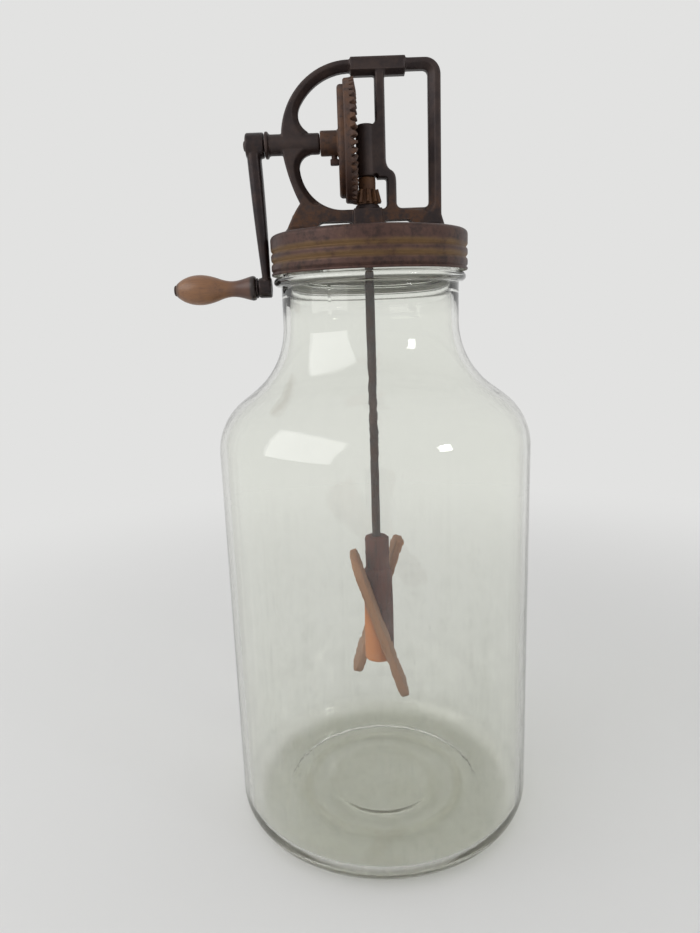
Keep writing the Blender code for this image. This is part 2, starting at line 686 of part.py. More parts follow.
def left_window():
    """The opening that the gear turns in, with the width of the bevel at each point."""
    inner = ARC_RADIUS - BAR_WIDTH
    arc_z = FRAME_HEIGHT - TOP_BAR_WIDTH - inner
    rail_top = RAIL_RISE + RAIL_DEPTH
    sweep_x = -(ARC_OFFSET + ARC_RADIUS) + LIMB_WIDTH + LOWER_SWEEP
    sweep_z = rail_top + LOWER_SWEEP
    lower_z = SHAFT_HEIGHT - BEARING_RADIUS - LOWER_FILLET
    sweep_start = math.pi + math.asin(max(0, sweep_z - lower_z) / LOWER_SWEEP)
    strut_left = BOSS_RADIUS - STRUT_OVERLAP
    low_left = strut_left + STRUT_JOG
    bevelled = arched_edge(inner, arc_z)
    bevelled += arc(sweep_x, sweep_z, LOWER_SWEEP, sweep_start, WIDE_BEVEL_END, FILLET_STEPS)[1:]
    plain = arc(sweep_x, sweep_z, LOWER_SWEEP, WIDE_BEVEL_END, 3 * QUARTER, FILLET_STEPS)[1:]
    corner_x = low_left - WINDOW_FILLET
    plain += arc(corner_x, rail_top + WINDOW_FILLET, WINDOW_FILLET, -QUARTER, 0, CORNER_STEPS)
    plain += web_edge(low_left, strut_left)
    plain += [(strut_left, arc_z + inner)]
    widths = [BEVEL_WIDTH] * (len(bevelled) - 1) + [STRUT_BEVEL] * len(plain) + [BEVEL_WIDTH]
    return bevelled + plain, widths


def right_window():
    """The tall opening right of the strut, with the width of the bevel at each point."""
    rail_top = RAIL_RISE + RAIL_DEPTH
    top = FRAME_HEIGHT - TOP_BAR_WIDTH
    right = RIGHT_REACH - RIGHT_BAR_WIDTH
    strut_right = BOSS_RADIUS - STRUT_OVERLAP + STRUT_WIDTH
    low_left = strut_right + STRUT_JOG
    r = INNER_CORNER
    steps = SMALL_CORNER_STEPS
    bevelled = arc(right - r, rail_top + r, r, -QUARTER, 0, steps)
    bevelled += arc(right - r, top - r, r, 0, QUARTER, steps)
    plain = arc(strut_right + r, top - r, r, QUARTER, math.pi, steps)
    middle = ((strut_right + low_left) / 2, JOG_LOW + JOG_HEIGHT / 2)
    jog_top = (strut_right, JOG_LOW + JOG_HEIGHT)
    plain += curve_through(jog_top, (strut_right, middle[1] + STRUT_JOG / 4), middle, CORNER_STEPS)
    jog_control = (low_left, middle[1] - STRUT_JOG / 4)
    plain += curve_through(middle, jog_control, (low_left, JOG_LOW), CORNER_STEPS)[1:]
    plain += arc(low_left + r, rail_top + r, r, math.pi, 3 * QUARTER, steps)
    widths = [BEVEL_WIDTH] * len(bevelled) + [STRUT_BEVEL] * len(plain)
    return bevelled + plain, widths


def window_cutter(outline, widths):
    """A cutter through the frame that leaves a bevel from the rib down to the opening's edge."""
    wide = pushed_out(outline, widths)
    outer = FRAME_DEPTH / 2
    edge = EDGE_DEPTH / 2
    places = (
        (-outer - CUT_OVERRUN, wide),
        (-outer, wide),
        (-edge, outline),
        (edge, outline),
        (outer, wide),
        (outer + CUT_OVERRUN, wide),
    )
    return lofted([[(x, y, z) for x, z in points] for y, points in places])


def frame_plate():
    """The flat casting before its openings are cut, with its outer edge rounded."""
    outline = frame_outline()
    narrow = pushed_out(outline, [-EDGE_ROUND] * len(outline))
    outer = FRAME_DEPTH / 2
    inner = outer - EDGE_ROUND
    places = ((-outer, narrow), (-inner, outline), (inner, outline), (outer, narrow))
    return lofted([[(x, y, z) for x, z in points] for y, points in places])


def rounded_square(angle, power):
    """How far out a rounded square of half width 1 lies at an angle."""
    return 1 / (abs(math.cos(angle)) ** power + abs(math.sin(angle)) ** power) ** (1 / power)


def foot_shape(toe, direction):
    """A broad foot under one end of the frame, drawn in towards the bar that it carries."""
    length = FOOT_LENGTH * direction
    bar = FRAME_DEPTH / 2 - 2 * EDGE_ROUND
    drawn_in = length * FOOT_CROWN_SHARE

    def ring(start, end, half, z):
        middle = (start + end) / 2
        reach = (end - start) / 2
        points = []
        for index in range(FOOT_STEPS):
            a = math.tau * (index + 0.5) / FOOT_STEPS
            bulge = rounded_square(a, FOOT_SQUARENESS)
            points.append((middle + reach * bulge * math.cos(a), half * bulge * math.sin(a), z))
        return points

    half = FOOT_WIDTH / 2
    inset = EDGE_ROUND * direction
    return lofted(
        [
            ring(toe, toe + length, half, 0),
            ring(toe, toe + length, half, FOOT_HEIGHT - EDGE_ROUND),
            ring(toe + inset, toe + length - inset, half - EDGE_ROUND, FOOT_HEIGHT),
            ring(toe + drawn_in, toe + length - drawn_in, bar, FOOT_HEIGHT + FOOT_CROWN),
        ]
    )


def arch_cutter():
    """The two low gaps under the rail, on either side of the middle block."""
    half = BLOCK_LENGTH / 2
    left_toe, right_toe = toe_places()
    r = RAIL_RISE / 2
    spans = ((left_toe + FOOT_LENGTH + r, -half), (half, right_toe - FOOT_LENGTH - r))
    cutters = []
    for start, end in spans:
        outline = [(start, -CUT_OVERRUN), (end, -CUT_OVERRUN)]
        outline += arc(end - r, RAIL_RISE - r, r, 0, QUARTER, CORNER_STEPS)
        outline += arc(start + r, RAIL_RISE - r, r, QUARTER, math.pi, CORNER_STEPS)
        reach = FOOT_WIDTH / 2 + CUT_OVERRUN
        cutters.append(prism(outline, -reach, reach))
    return cutters


def name_plate_shape():
    """The thick plate in the top bar, drawn in towards its lower edge on both faces."""
    high = FRAME_HEIGHT + NAME_PLATE_PROUD
    low = high - NAME_PLATE_HEIGHT
    half = NAME_PLATE_DEPTH / 2
    edge = EDGE_DEPTH / 2
    shoulder = low + NAME_PLATE_TAPER
    crown = high - EDGE_ROUND
    upper = [(half, shoulder), (half, crown), (half - EDGE_ROUND, high)]
    section = [(edge, low), *upper, *[(-y, z) for y, z in reversed(upper)], (-edge, low)]
    start = NAME_PLATE_OFFSET - NAME_PLATE_LENGTH / 2
    return lofted([[(x, y, z) for y, z in section] for x in (start, start + NAME_PLATE_LENGTH)])


def frame_additions(frame, frame_axis):
    """Bearing, boss, plate, block and feet, fused on to the flat casting."""
    turn_to_x = (0, QUARTER, 0)
    shaft_line = (0, 0, SHAFT_HEIGHT)
    flange_end = BEARING_FACE_X + FLANGE_THICKNESS
    bearing_outline = [
        (0, BEARING_FACE_X),
        (FLANGE_RADIUS, BEARING_FACE_X),
        (FLANGE_RADIUS, flange_end),
        (BEARING_RADIUS, flange_end),
        (BEARING_RADIUS, BEARING_END_X),
        (0, BEARING_END_X),
    ]
    bearing = turned(bearing_outline, FINE_STEPS)
    boss_low = SHAFT_HEIGHT - BOSS_BELOW_SHAFT
    boss_high = SHAFT_HEIGHT + BOSS_ABOVE_SHAFT
    boss = domed_shape(BOSS_RADIUS, boss_low, boss_high, BOSS_RADIUS / 3, FINE_STEPS)
    rail_top = RAIL_RISE + RAIL_DEPTH
    half_block = BLOCK_LENGTH / 2
    block = block_shape((-half_block, -BLOCK_DEPTH / 2, 0), (half_block, BLOCK_DEPTH / 2, rail_top))
    pad_top = PINION_BASE_Z - FIT_GAP - FRAME_BASE_Z
    pad = rod_shape(PIVOT_PAD_RADIUS, rail_top - RAIL_DEPTH / 2, pad_top, FINE_STEPS)
    sleeve = rod_shape(SLEEVE_RADIUS, -SLEEVE_DROP, RAIL_RISE, SMALL_STEPS)
    left_toe, right_toe = toe_places()
    pieces = (
        ("bearing_helper", bearing, shaft_line, turn_to_x),
        ("boss_helper", boss, (0, 0, 0), (0, 0, 0)),
        ("plate_helper", name_plate_shape(), (0, 0, 0), (0, 0, 0)),
        ("left_foot_helper", foot_shape(left_toe, 1), (0, 0, 0), (0, 0, 0)),
        ("right_foot_helper", foot_shape(right_toe, -1), (0, 0, 0), (0, 0, 0)),
        ("block_helper", block, (0, 0, 0), (0, 0, 0)),
        ("pad_helper", pad, (0, 0, 0), (0, 0, 0)),
        ("sleeve_helper", sleeve, (0, 0, 0), (0, 0, 0)),
    )
    for name, shape, location, rotation in pieces:
        fuse(frame, add_object(name, shape, None, frame_axis, location, rotation), FRAME_SOLVER)


def make_frame(iron, frame_axis):
    frame = add_object("frame_casting", frame_plate(), iron, frame_axis)
    for name, window in (("left_window", left_window()), ("right_window", right_window())):
        cut(frame, add_object(name, window_cutter(*window), None, frame_axis), FRAME_SOLVER)
    frame_additions(frame, frame_axis)
    for name, shape in zip(("left_arch", "right_arch"), arch_cutter()):
        cut(frame, add_object(name, shape, None, frame_axis), FRAME_SOLVER)
    bore_start = BEARING_FACE_X - CUT_OVERRUN
    bore_end = BEARING_END_X + CUT_OVERRUN
    shaft_bore = bore_shape(SHAFT_RADIUS, bore_start, bore_end, SMALL_STEPS)
    line = (0, 0, SHAFT_HEIGHT)
    shaft_cutter = add_object("shaft_bore", shaft_bore, None, frame_axis, line, (0, QUARTER, 0))
    cut(frame, shaft_cutter, FRAME_SOLVER)
    rod_end = ROD_TOP_Z + FIT_GAP - FRAME_BASE_Z
    rod_bore = bore_shape(ROD_RADIUS, -SLEEVE_DROP - CUT_OVERRUN, rod_end, SMALL_STEPS)
    cut(frame, add_object("rod_bore", rod_bore, None, frame_axis), FRAME_SOLVER)
    for side, x in zip(("left", "right"), foot_rivet_places()):
        hole = bore_shape(RIVET_RADIUS, -CUT_OVERRUN, RIVET_BITE + FIT_GAP, PIN_STEPS)
        cut(frame, add_object(f"foot_hole_{side}", hole, None, frame_axis, (x, 0, 0)), FRAME_SOLVER)
    even_shading(frame)


def gear_flank():
    """(cone angle, half angle about the axis) from root to tip: nearly a straight rack flank."""
    tip = GEAR_ADDENDUM_SHARE * GEAR_MODULE
    root = (PINION_ADDENDUM_SHARE + ROOT_CLEARANCE_SHARE) * GEAR_MODULE
    half = TOOTH_SHARE * math.pi * GEAR_MODULE / 2
    flank = []
    for height in (-root, tip):
        width = half - height * math.tan(PRESSURE_ANGLE)
        flank.append((GEAR_CONE + height / CONE_DISTANCE, width / GEAR_PITCH_RADIUS))
    return flank


def pinion_flank():
    """(cone angle, half angle about the axis) from root to tip, on an involute."""
    tip = PINION_PITCH_RADIUS + PINION_ADDENDUM_SHARE * GEAR_MODULE
    root_depth = (GEAR_ADDENDUM_SHARE + ROOT_CLEARANCE_SHARE) * GEAR_MODULE
    base = PINION_PITCH_RADIUS * math.cos(PRESSURE_ANGLE)
    half_at_pitch = TOOTH_SHARE * math.pi / PINION_TEETH

    def roll_off(angle):
        return math.tan(angle) - angle

    radii = [PINION_PITCH_RADIUS - root_depth, base]
    radii += [base + (tip - base) * (step + 1) / FLANK_STEPS for step in range(FLANK_STEPS)]
    flank = []
    for radius in radii:
        angle = math.acos(min(1, base / radius))
        half = half_at_pitch + roll_off(PRESSURE_ANGLE) - roll_off(angle)
        cone = PINION_CONE + (radius - PINION_PITCH_RADIUS) / CONE_DISTANCE
        flank.append((cone, half))
    return flank


def bevel_gear(teeth, flank, phase, rest, rings_per_tooth):
    """A bevel gear about Z whose cones meet at the origin. The rest of its section runs from
    the outer end of the teeth round the back and the bore to their inner end."""
    shape = bmesh.new()
    pitch = math.tau / teeth
    profile = [(cone, -half) for cone, half in flank] + [(cone, half) for cone, half in reversed(flank)]

    def tooth_ring(distance):
        made = []
        for tooth in range(teeth):
            for cone, turn in profile:
                angle = phase + tooth * pitch + turn
                reach = distance * math.sin(cone)
                place = (reach * math.cos(angle), reach * math.sin(angle), -distance * math.cos(cone))
                made.append(shape.verts.new(place))
        return made

    def plain_ring(radius, z):
        made = []
        for index in range(teeth * rings_per_tooth):
            angle = phase + ((index + 0.5) / rings_per_tooth - 0.5) * pitch
            made.append(shape.verts.new((radius * math.cos(angle), radius * math.sin(angle), z)))
        return made

    def join(ring, plain):
        per_tooth = len(profile)
        for index, vertex in enumerate(ring):
            after = ring[(index + 1) % len(ring)]
            here = index * rings_per_tooth // per_tooth
            there = (index + 1) * rings_per_tooth // per_tooth
            shape.faces.new((vertex, after, plain[here]))
            if there != here:
                shape.faces.new((after, plain[there % len(plain)], plain[here]))

    outer = tooth_ring(CONE_DISTANCE)
    inner = tooth_ring(CONE_DISTANCE - GEAR_FACE)
    for index in range(len(outer)):
        after = (index + 1) % len(outer)
        shape.faces.new((outer[index], outer[after], inner[after], inner[index]))
    rings = [plain_ring(radius, z) for radius, z in rest]
    for near, far in zip(rings, rings[1:]):
        for index in range(len(near)):
            after = (index + 1) % len(near)
            shape.faces.new((near[index], near[after], far[after], far[index]))
    join(outer, rings[0])
    join(inner, rings[-1])
    return shape


def make_gear(iron, steel, crank_axis):
    """The drive gear, with its hub towards the crank and its teeth towards the dasher's rod."""
    root = gear_flank()[0][0]
    rim = GEAR_PITCH_RADIUS - GEAR_MODULE / 2
    rim_back = -(PINION_PITCH_RADIUS + GEAR_RIM_BACK)
    plate = GEAR_PITCH_RADIUS - GEAR_PLATE_MARGIN
    bore = SHAFT_RADIUS + FIT_GAP
    inner_end = CONE_DISTANCE - GEAR_FACE
    web_edge = inner_end * math.sin(root) - GEAR_MODULE / 2
    web_front = -inner_end * math.cos(root) - GEAR_WEB_RECESS
    rest = [
        (rim, rim_back + GEAR_MODULE / 2),
        (rim - GEAR_MODULE / 2, rim_back),
        (plate, rim_back),
        (plate, GEAR_BACK_X + GEAR_PLATE_ROUND),
        (plate - GEAR_PLATE_ROUND, GEAR_BACK_X),
        (GEAR_HUB_RADIUS, GEAR_BACK_X),
        (GEAR_HUB_RADIUS, GEAR_HUB_X),
        (bore, GEAR_HUB_X),
        (bore, web_front),
        (web_edge - GEAR_MODULE, web_front),
        (web_edge, web_front + GEAR_MODULE),
    ]
    turn_to_x = (0, QUARTER, 0)
    shape = bevel_gear(GEAR_TEETH, gear_flank(), 0, rest, 1)
    gear = add_object("drive_gear", shape, iron, crank_axis, (0, 0, 0), turn_to_x)
    make_set_screw(gear, steel, crank_axis)


def make_set_screw(gear, steel, crank_axis):
    """A square-headed screw that stands out of the gear's hub, downwards at rest."""
    x = GEAR_BACK_X - SET_SCREW_INSET
    tip = -(SHAFT_RADIUS + FIT_GAP)
    head_top = -(GEAR_HUB_RADIUS + SET_SCREW_STAND)
    head_low = head_top - SET_SCREW_HEAD_HEIGHT
    hole = bore_shape(SET_SCREW_RADIUS, -(GEAR_HUB_RADIUS + CUT_OVERRUN), tip / 2, PIN_STEPS)
    cut(gear, add_object("set_screw_hole", hole, None, crank_axis, (x, 0, 0)))
    shank = rod_shape(SET_SCREW_RADIUS, head_top - SET_SCREW_HEAD_HEIGHT / 2, tip, PIN_STEPS)
    half = SET_SCREW_HEAD / 2
    head = block_shape((-half, -half, head_low), (half, half, head_top))
    screw = add_object("gear_set_screw", head, steel, crank_axis, (x, 0, 0))
    fuse(screw, add_object("set_screw_shank", shank, None, crank_axis, (x, 0, 0)))


def make_pinion(iron, steel, dasher_axis):
    """The small gear on the dasher's rod, with the sleeve that its pin goes through."""
    flank = pinion_flank()
    root = flank[0][0]
    base = PINION_BASE_Z - SHAFT_Z
    bore = ROD_RADIUS + FIT_GAP
    inner_end = CONE_DISTANCE - GEAR_FACE
    top = -BOSS_BELOW_SHAFT - FIT_GAP
    sleeve_low = -inner_end * math.cos(root) + GEAR_MODULE / 2
    rest = [
        (CONE_DISTANCE * math.sin(root), base),
        (bore, base),
        (bore, top),
        (PINION_SLEEVE_RADIUS, top),
        (PINION_SLEEVE_RADIUS, sleeve_low),
    ]
    shape = bevel_gear(PINION_TEETH, flank, math.pi / PINION_TEETH, rest, 2)
    lift = (0, 0, SHAFT_Z - DASHER_HEIGHT)
    pinion = add_object("pinion", shape, iron, dasher_axis, lift)
    pin_z = SHAFT_Z + (top + sleeve_low) / 2 - DASHER_HEIGHT
    hole = bore_shape(PINION_PIN_RADIUS, -PINION_SLEEVE_RADIUS * 2, PINION_SLEEVE_RADIUS * 2, PIN_STEPS)
    place = (dasher_axis, (0, 0, pin_z), (0, QUARTER, 0))
    cut(pinion, add_object("pinion_pin_hole", hole, None, *place))
    pin = rod_shape(PINION_PIN_RADIUS, -PINION_SLEEVE_RADIUS, PINION_SLEEVE_RADIUS, PIN_STEPS)
    add_object("pinion_pin", pin, steel, *place)
    return pin_z


def make_shaft(steel, crank_axis):
    end = GEAR_BACK_X + GEAR_PLATE_THICKNESS
    start = CRANK_FACE_X - CRANK_BOSS_LENGTH + CRANK_END_WALL + FIT_GAP
    turn_to_x = (0, QUARTER, 0)
    shape = rod_shape(SHAFT_RADIUS, start, end, SMALL_STEPS)
    shaft = add_object("crank_shaft", shape, steel, crank_axis, (0, 0, 0), turn_to_x)
    bite = start + CRANK_SCREW_BITE + FIT_GAP
    hole = bore_shape(CRANK_SCREW_RADIUS, start - CUT_OVERRUN, bite, PIN_STEPS)
    cut(shaft, add_object("shaft_screw_hole", hole, None, crank_axis, (0, 0, 0), turn_to_x))


def arm_section(centre_x, thick, broad, z):
    """An oval with flattened sides, its thin way along X."""
    points = []
    for index in range(ARM_STEPS):
        a = math.tau * index / ARM_STEPS
        bulge = rounded_square(a, ARM_SQUARENESS)
        x = centre_x + thick / 2 * bulge * math.cos(a)
        points.append((x, broad / 2 * bulge * math.sin(a), z))
    return points


def make_crank(iron, steel, crank_axis):
    """The cast arm: a boss on the shaft, a tapered arm and a boss for the handle's pin."""
    turn_to_x = (0, QUARTER, 0)
    face = CRANK_FACE_X
    boss = domed_shape(CRANK_BOSS_RADIUS, -face, -face + CRANK_BOSS_LENGTH, CRANK_BOSS_ROUND, FINE_STEPS)
    foot = domed_shape(CRANK_FOOT_RADIUS, -face, -face + CRANK_FOOT_LENGTH, CRANK_BOSS_ROUND, FINE_STEPS)
    top_x = face - ARM_INSET_TOP - ARM_THICK_TOP / 2
    foot_x = face - ARM_INSET_FOOT - ARM_THICK_FOOT / 2
    sections = []
    for share in ARM_SHARES:
        thick = ARM_THICK_TOP + (ARM_THICK_FOOT - ARM_THICK_TOP) * share**2
        broad = ARM_BROAD_TOP + (ARM_BROAD_FOOT - ARM_BROAD_TOP) * share
        low = CRANK_RADIUS - CRANK_FOOT_RADIUS / 2
        z = -CRANK_BOSS_RADIUS / 2 * (1 - share) - low * share
        sections.append(arm_section(top_x + (foot_x - top_x) * share, thick, broad, z))
    arm = add_object("crank_arm", lofted(sections), iron, crank_axis)
    turn_to_minus_x = (0, -QUARTER, 0)
    fuse(arm, add_object("crank_boss_helper", boss, None, crank_axis, (0, 0, 0), turn_to_minus_x))
    low = (0, 0, -CRANK_RADIUS)
    fuse(arm, add_object("crank_foot_helper", foot, None, crank_axis, low, turn_to_minus_x))
    inner = face - CRANK_BOSS_LENGTH + CRANK_END_WALL
    bore = bore_shape(SHAFT_RADIUS, inner, face + CUT_OVERRUN, SMALL_STEPS)
    cut(arm, add_object("crank_bore", bore, None, crank_axis, (0, 0, 0), turn_to_x))
    outside = face - CRANK_BOSS_LENGTH - CUT_OVERRUN
    hole = bore_shape(CRANK_SCREW_RADIUS, outside, inner + CRANK_END_WALL, PIN_STEPS)
    cut(arm, add_object("crank_screw_hole", hole, None, crank_axis, (0, 0, 0), turn_to_x))
    foot_outside = face - CRANK_FOOT_LENGTH - CUT_OVERRUN
    pin_hole = bore_shape(HANDLE_PIN_RADIUS, foot_outside, face + CUT_OVERRUN, SMALL_STEPS)
    cut(arm, add_object("crank_pin_hole", pin_hole, None, crank_axis, low, turn_to_x))
    make_crank_screw(steel, crank_axis)


def make_crank_screw(steel, crank_axis):
    seat = CRANK_BOSS_LENGTH - CRANK_FACE_X + FIT_GAP
    tip = -(CRANK_FACE_X - CRANK_BOSS_LENGTH + CRANK_END_WALL + FIT_GAP + CRANK_SCREW_BITE)
    top = seat + CRANK_SCREW_HEAD_HEIGHT
    outline = [
        (0, tip),
        (CRANK_SCREW_RADIUS, tip),
        (CRANK_SCREW_RADIUS, seat),
        (CRANK_SCREW_HEAD_RADIUS, seat),
        (CRANK_SCREW_HEAD_RADIUS, seat + CRANK_SCREW_HEAD_HEIGHT / 3),
        (CRANK_SCREW_RADIUS, top),
        (0, top),
    ]
    turn_to_minus_x = (0, -QUARTER, 0)
    add_object("crank_screw", turned(outline, PIN_STEPS), steel, crank_axis, (0, 0, 0), turn_to_minus_x)


def make_handle(wood, iron, steel, crank_axis, grip_axis):
    """The turned grip and its washer turn freely on a pin that is riveted into the arm."""
    turn_to_minus_x = (0, -QUARTER, 0)
    bore = HANDLE_PIN_RADIUS + FIT_GAP
    start = -GRIP_FACE_X
    side = [(share * GRIP_RADIUS, start + along * GRIP_LENGTH) for along, share in GRIP_SHARES]
    outline = side + [(bore, start + GRIP_LENGTH), (bore, start)]
    place = (grip_axis, (0, 0, 0), turn_to_minus_x)
    add_object("handle_grip", turned(outline, FINE_STEPS), wood, *place)
    low = CRANK_FOOT_LENGTH - CRANK_FACE_X + FIT_GAP
    high = low + WASHER_THICKNESS
    r = WASHER_ROUND
    ring = [(bore, low)]
    ring += arc(WASHER_RADIUS - r, low + r, r, -QUARTER, 0, SMALL_CORNER_STEPS)
    ring += arc(WASHER_RADIUS - r, high - r, r, 0, QUARTER, SMALL_CORNER_STEPS)
    ring += [(bore, high)]
    add_object("grip_washer", turned(ring, FINE_STEPS), iron, *place)
    seat = start + GRIP_LENGTH + FIT_GAP
    top = seat + HANDLE_PIN_HEAD_HEIGHT
    pin = [
        (0, -CRANK_FACE_X),
        (HANDLE_PIN_RADIUS, -CRANK_FACE_X),
        (HANDLE_PIN_RADIUS, seat),
        (HANDLE_PIN_HEAD_RADIUS, seat),
        (HANDLE_PIN_HEAD_RADIUS, seat + HANDLE_PIN_HEAD_HEIGHT / 3),
        (HANDLE_PIN_RADIUS, top),
        (0, top),
    ]
    low_line = (0, 0, -CRANK_RADIUS)
    add_object("handle_pin", turned(pin, SMALL_STEPS), steel, crank_axis, low_line, turn_to_minus_x)


def hub_outline():
    """The turned wooden hub, local z from 0 at its foot: a broad part and a thinner collar."""
    r = HUB_ROUND
    top = HUB_LOWER_HEIGHT + HUB_UPPER_HEIGHT
    upper = arc(HUB_UPPER_RADIUS - r, top - r, r, 0, QUARTER, CORNER_STEPS)
    return [
        (0, 0),
        (HUB_BASE_RADIUS, 0),
        (HUB_SHOULDER_RADIUS, HUB_LOWER_HEIGHT - r),
        (HUB_UPPER_RADIUS, HUB_LOWER_HEIGHT + r),
        *upper,
        (0, top),
    ]


def blade_shape(side, grow):
    """A plank on edge that reaches out from the hub along Y, rounded at all corners but the one
    in the hub."""
    half = BLADE_LENGTH / 2 + grow
    inner = BLADE_INNER - grow
    span = BLADE_REACH - BLADE_INNER + 2 * grow
    outer = [(inner + across * span, along * half) for across, along in BLADE_OUTER_SHARES]
    heel = [(inner + across * span, -along * half) for across, along in BLADE_HEEL_SHARES]
    outline = [(inner, half), *outer, *[(y, -z) for y, z in reversed(outer)], *reversed(heel)]
    thick = BLADE_THICKNESS / 2 + grow
    sections = [[(x, side * y, z) for y, z in outline] for x in (-thick, thick)]
    return lofted(sections)


def make_dasher(wood, blade_wood, steel, dasher_axis, pinion_pin_z):
    hub = add_object("dasher_hub", turned(hub_outline(), FINE_STEPS), wood, dasher_axis)
    top = HUB_LOWER_HEIGHT + HUB_UPPER_HEIGHT
    bottom = ROD_BOTTOM_Z - DASHER_HEIGHT
    bore = bore_shape(ROD_RADIUS, bottom - FIT_GAP, top + CUT_OVERRUN, SMALL_STEPS)
    cut(hub, add_object("hub_bore", bore, None, dasher_axis))
    for name, side in (("blade_front", -1), ("blade_back", 1)):
        place = (dasher_axis, (0, 0, BLADE_RISE), (0, side * BLADE_TILT, 0))
        cut(hub, add_object(f"{name}_slot", blade_shape(side, FIT_GAP), None, *place))
        add_object(name, blade_shape(side, 0), blade_wood, *place)
    end = ROD_TOP_Z - DASHER_HEIGHT
    rod = add_object("dasher_rod", rod_shape(ROD_RADIUS, bottom, end, SMALL_STEPS), steel, dasher_axis)
    hub_pin_z = HUB_LOWER_HEIGHT + HUB_UPPER_HEIGHT / 2
    reach = HUB_UPPER_RADIUS + FIT_GAP
    for name, radius, z in (
        ("hub_pin_hole", HUB_PIN_RADIUS, hub_pin_z),
        ("pinion_pin_rod_hole", PINION_PIN_RADIUS, pinion_pin_z),
    ):
        hole = bore_shape(radius, -2 * reach, 2 * reach, PIN_STEPS)
        helper = add_object(name, hole, None, dasher_axis, (0, 0, z), (0, QUARTER, 0))
        cut(rod, helper)
        if name == "hub_pin_hole":
            cut(hub, helper)
    pin = rod_shape(HUB_PIN_RADIUS, -reach, reach, PIN_STEPS)
    add_object("hub_pin", pin, steel, dasher_axis, (0, 0, hub_pin_z), (0, QUARTER, 0))


def main():
    clear_scene()
    glass = paint("clear_glass", (0.80, 0.84, 0.82), 0.05, 0.0, 0.35)
    tin = paint("rusted_tin", (0.16, 0.10, 0.07), 0.55, 0.6)
    iron = paint("cast_iron", (0.055, 0.036, 0.034), 0.6, 0.5)
    rusty_iron = paint("rusty_iron", (0.12, 0.06, 0.03), 0.75, 0.3)
    steel = paint("dark_steel", (0.07, 0.05, 0.045), 0.55, 0.7)
    cork = paint("cork", (0.30, 0.20, 0.12), 0.9)
    grip_wood = paint("grip_wood", (0.26, 0.14, 0.06), 0.4)
    hub_wood = paint("dark_wood", (0.12, 0.06, 0.035), 0.7)
    blade_wood = paint("pale_wood", (0.42, 0.24, 0.12), 0.7)
    lid_axis = axis_empty("lid_axis", (0, 0, LID_BASE_Z))
    frame_axis = axis_empty("frame_axis", (0, 0, FRAME_BASE_Z - LID_BASE_Z), lid_axis)
    crank_axis = axis_empty("crank_axis", (0, 0, SHAFT_Z - LID_BASE_Z), lid_axis)
    grip_axis = axis_empty("grip_axis", (0, 0, -CRANK_RADIUS), crank_axis)
    dasher_axis = axis_empty("dasher_axis", (0, 0, DASHER_HEIGHT - LID_BASE_Z), lid_axis)
    make_jar(glass)
    make_lid(tin, cork, steel, lid_axis)
    make_frame(iron, frame_axis)
    make_shaft(steel, crank_axis)
    make_crank(iron, steel, crank_axis)
    make_gear(rusty_iron, steel, crank_axis)
    make_handle(grip_wood, iron, steel, crank_axis, grip_axis)
    pinion_pin_z = make_pinion(rusty_iron, steel, dasher_axis)
    make_dasher(hub_wood, blade_wood, steel, dasher_axis, pinion_pin_z)


main()
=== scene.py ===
"""The looks of a hand-cranked butter churn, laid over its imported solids.

Metres, +Z up. The origin is the centre of the jar's underside, the dasher's rod runs up the Z
axis, and the crank turns about a line parallel to X with its handle at the -X side.
"""

import json
import math

import bmesh
import bpy
from bpy.props import FloatProperty, FloatVectorProperty, IntProperty, PointerProperty
from mathutils import Matrix, Vector

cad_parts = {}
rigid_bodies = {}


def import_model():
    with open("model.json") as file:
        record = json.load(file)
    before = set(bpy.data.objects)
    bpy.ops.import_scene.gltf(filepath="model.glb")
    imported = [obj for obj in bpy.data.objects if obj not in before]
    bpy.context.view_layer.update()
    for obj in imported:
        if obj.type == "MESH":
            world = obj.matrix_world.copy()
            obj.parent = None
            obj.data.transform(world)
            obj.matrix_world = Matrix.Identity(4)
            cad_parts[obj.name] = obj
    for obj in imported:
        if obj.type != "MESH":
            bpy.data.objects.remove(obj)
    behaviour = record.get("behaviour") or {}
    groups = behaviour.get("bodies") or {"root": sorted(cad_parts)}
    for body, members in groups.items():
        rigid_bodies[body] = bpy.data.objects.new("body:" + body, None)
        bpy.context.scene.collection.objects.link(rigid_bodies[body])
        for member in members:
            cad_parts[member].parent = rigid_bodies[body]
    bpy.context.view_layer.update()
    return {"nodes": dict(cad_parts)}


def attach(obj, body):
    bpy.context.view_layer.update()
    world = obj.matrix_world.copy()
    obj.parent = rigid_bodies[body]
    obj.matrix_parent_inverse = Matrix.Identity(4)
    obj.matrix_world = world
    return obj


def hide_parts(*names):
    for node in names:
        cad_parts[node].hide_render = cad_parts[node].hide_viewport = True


bl_info = {
    "name": "Butter churn",
    "version": (1, 0, 0),
    "blender": (4, 5, 0),
    "location": "3D View > Sidebar > Churn",
    "description": "Models and paints a glass butter churn with a geared iron head",
    "category": "Add Mesh",
}

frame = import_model()

MM = 0.001
WELD = 0.002 * MM
GAP = 0.3 * MM
QUARTER = math.pi / 2


# Properties


def length(name, description, value):
    """A size in metres."""
    return FloatProperty(
        name=name,
        description=description,
        default=value,
        min=0,
        precision=5,
        unit="LENGTH",
        subtype="DISTANCE",
    )


def share(name, description, value):
    return FloatProperty(name=name, description=description, default=value, min=0, subtype="FACTOR")


def turn(name, description, degrees):
    return FloatProperty(
        name=name, description=description, default=math.radians(degrees), subtype="ANGLE"
    )


def count(name, description, value):
    return IntProperty(name=name, description=description, default=value, min=3)


def linear(value):
    """One channel of a screen colour, from 0 to 255, as the renderer counts light."""
    value = value / 255
    return value / 12.92 if value <= 0.04045 else ((value + 0.055) / 1.055) ** 2.4


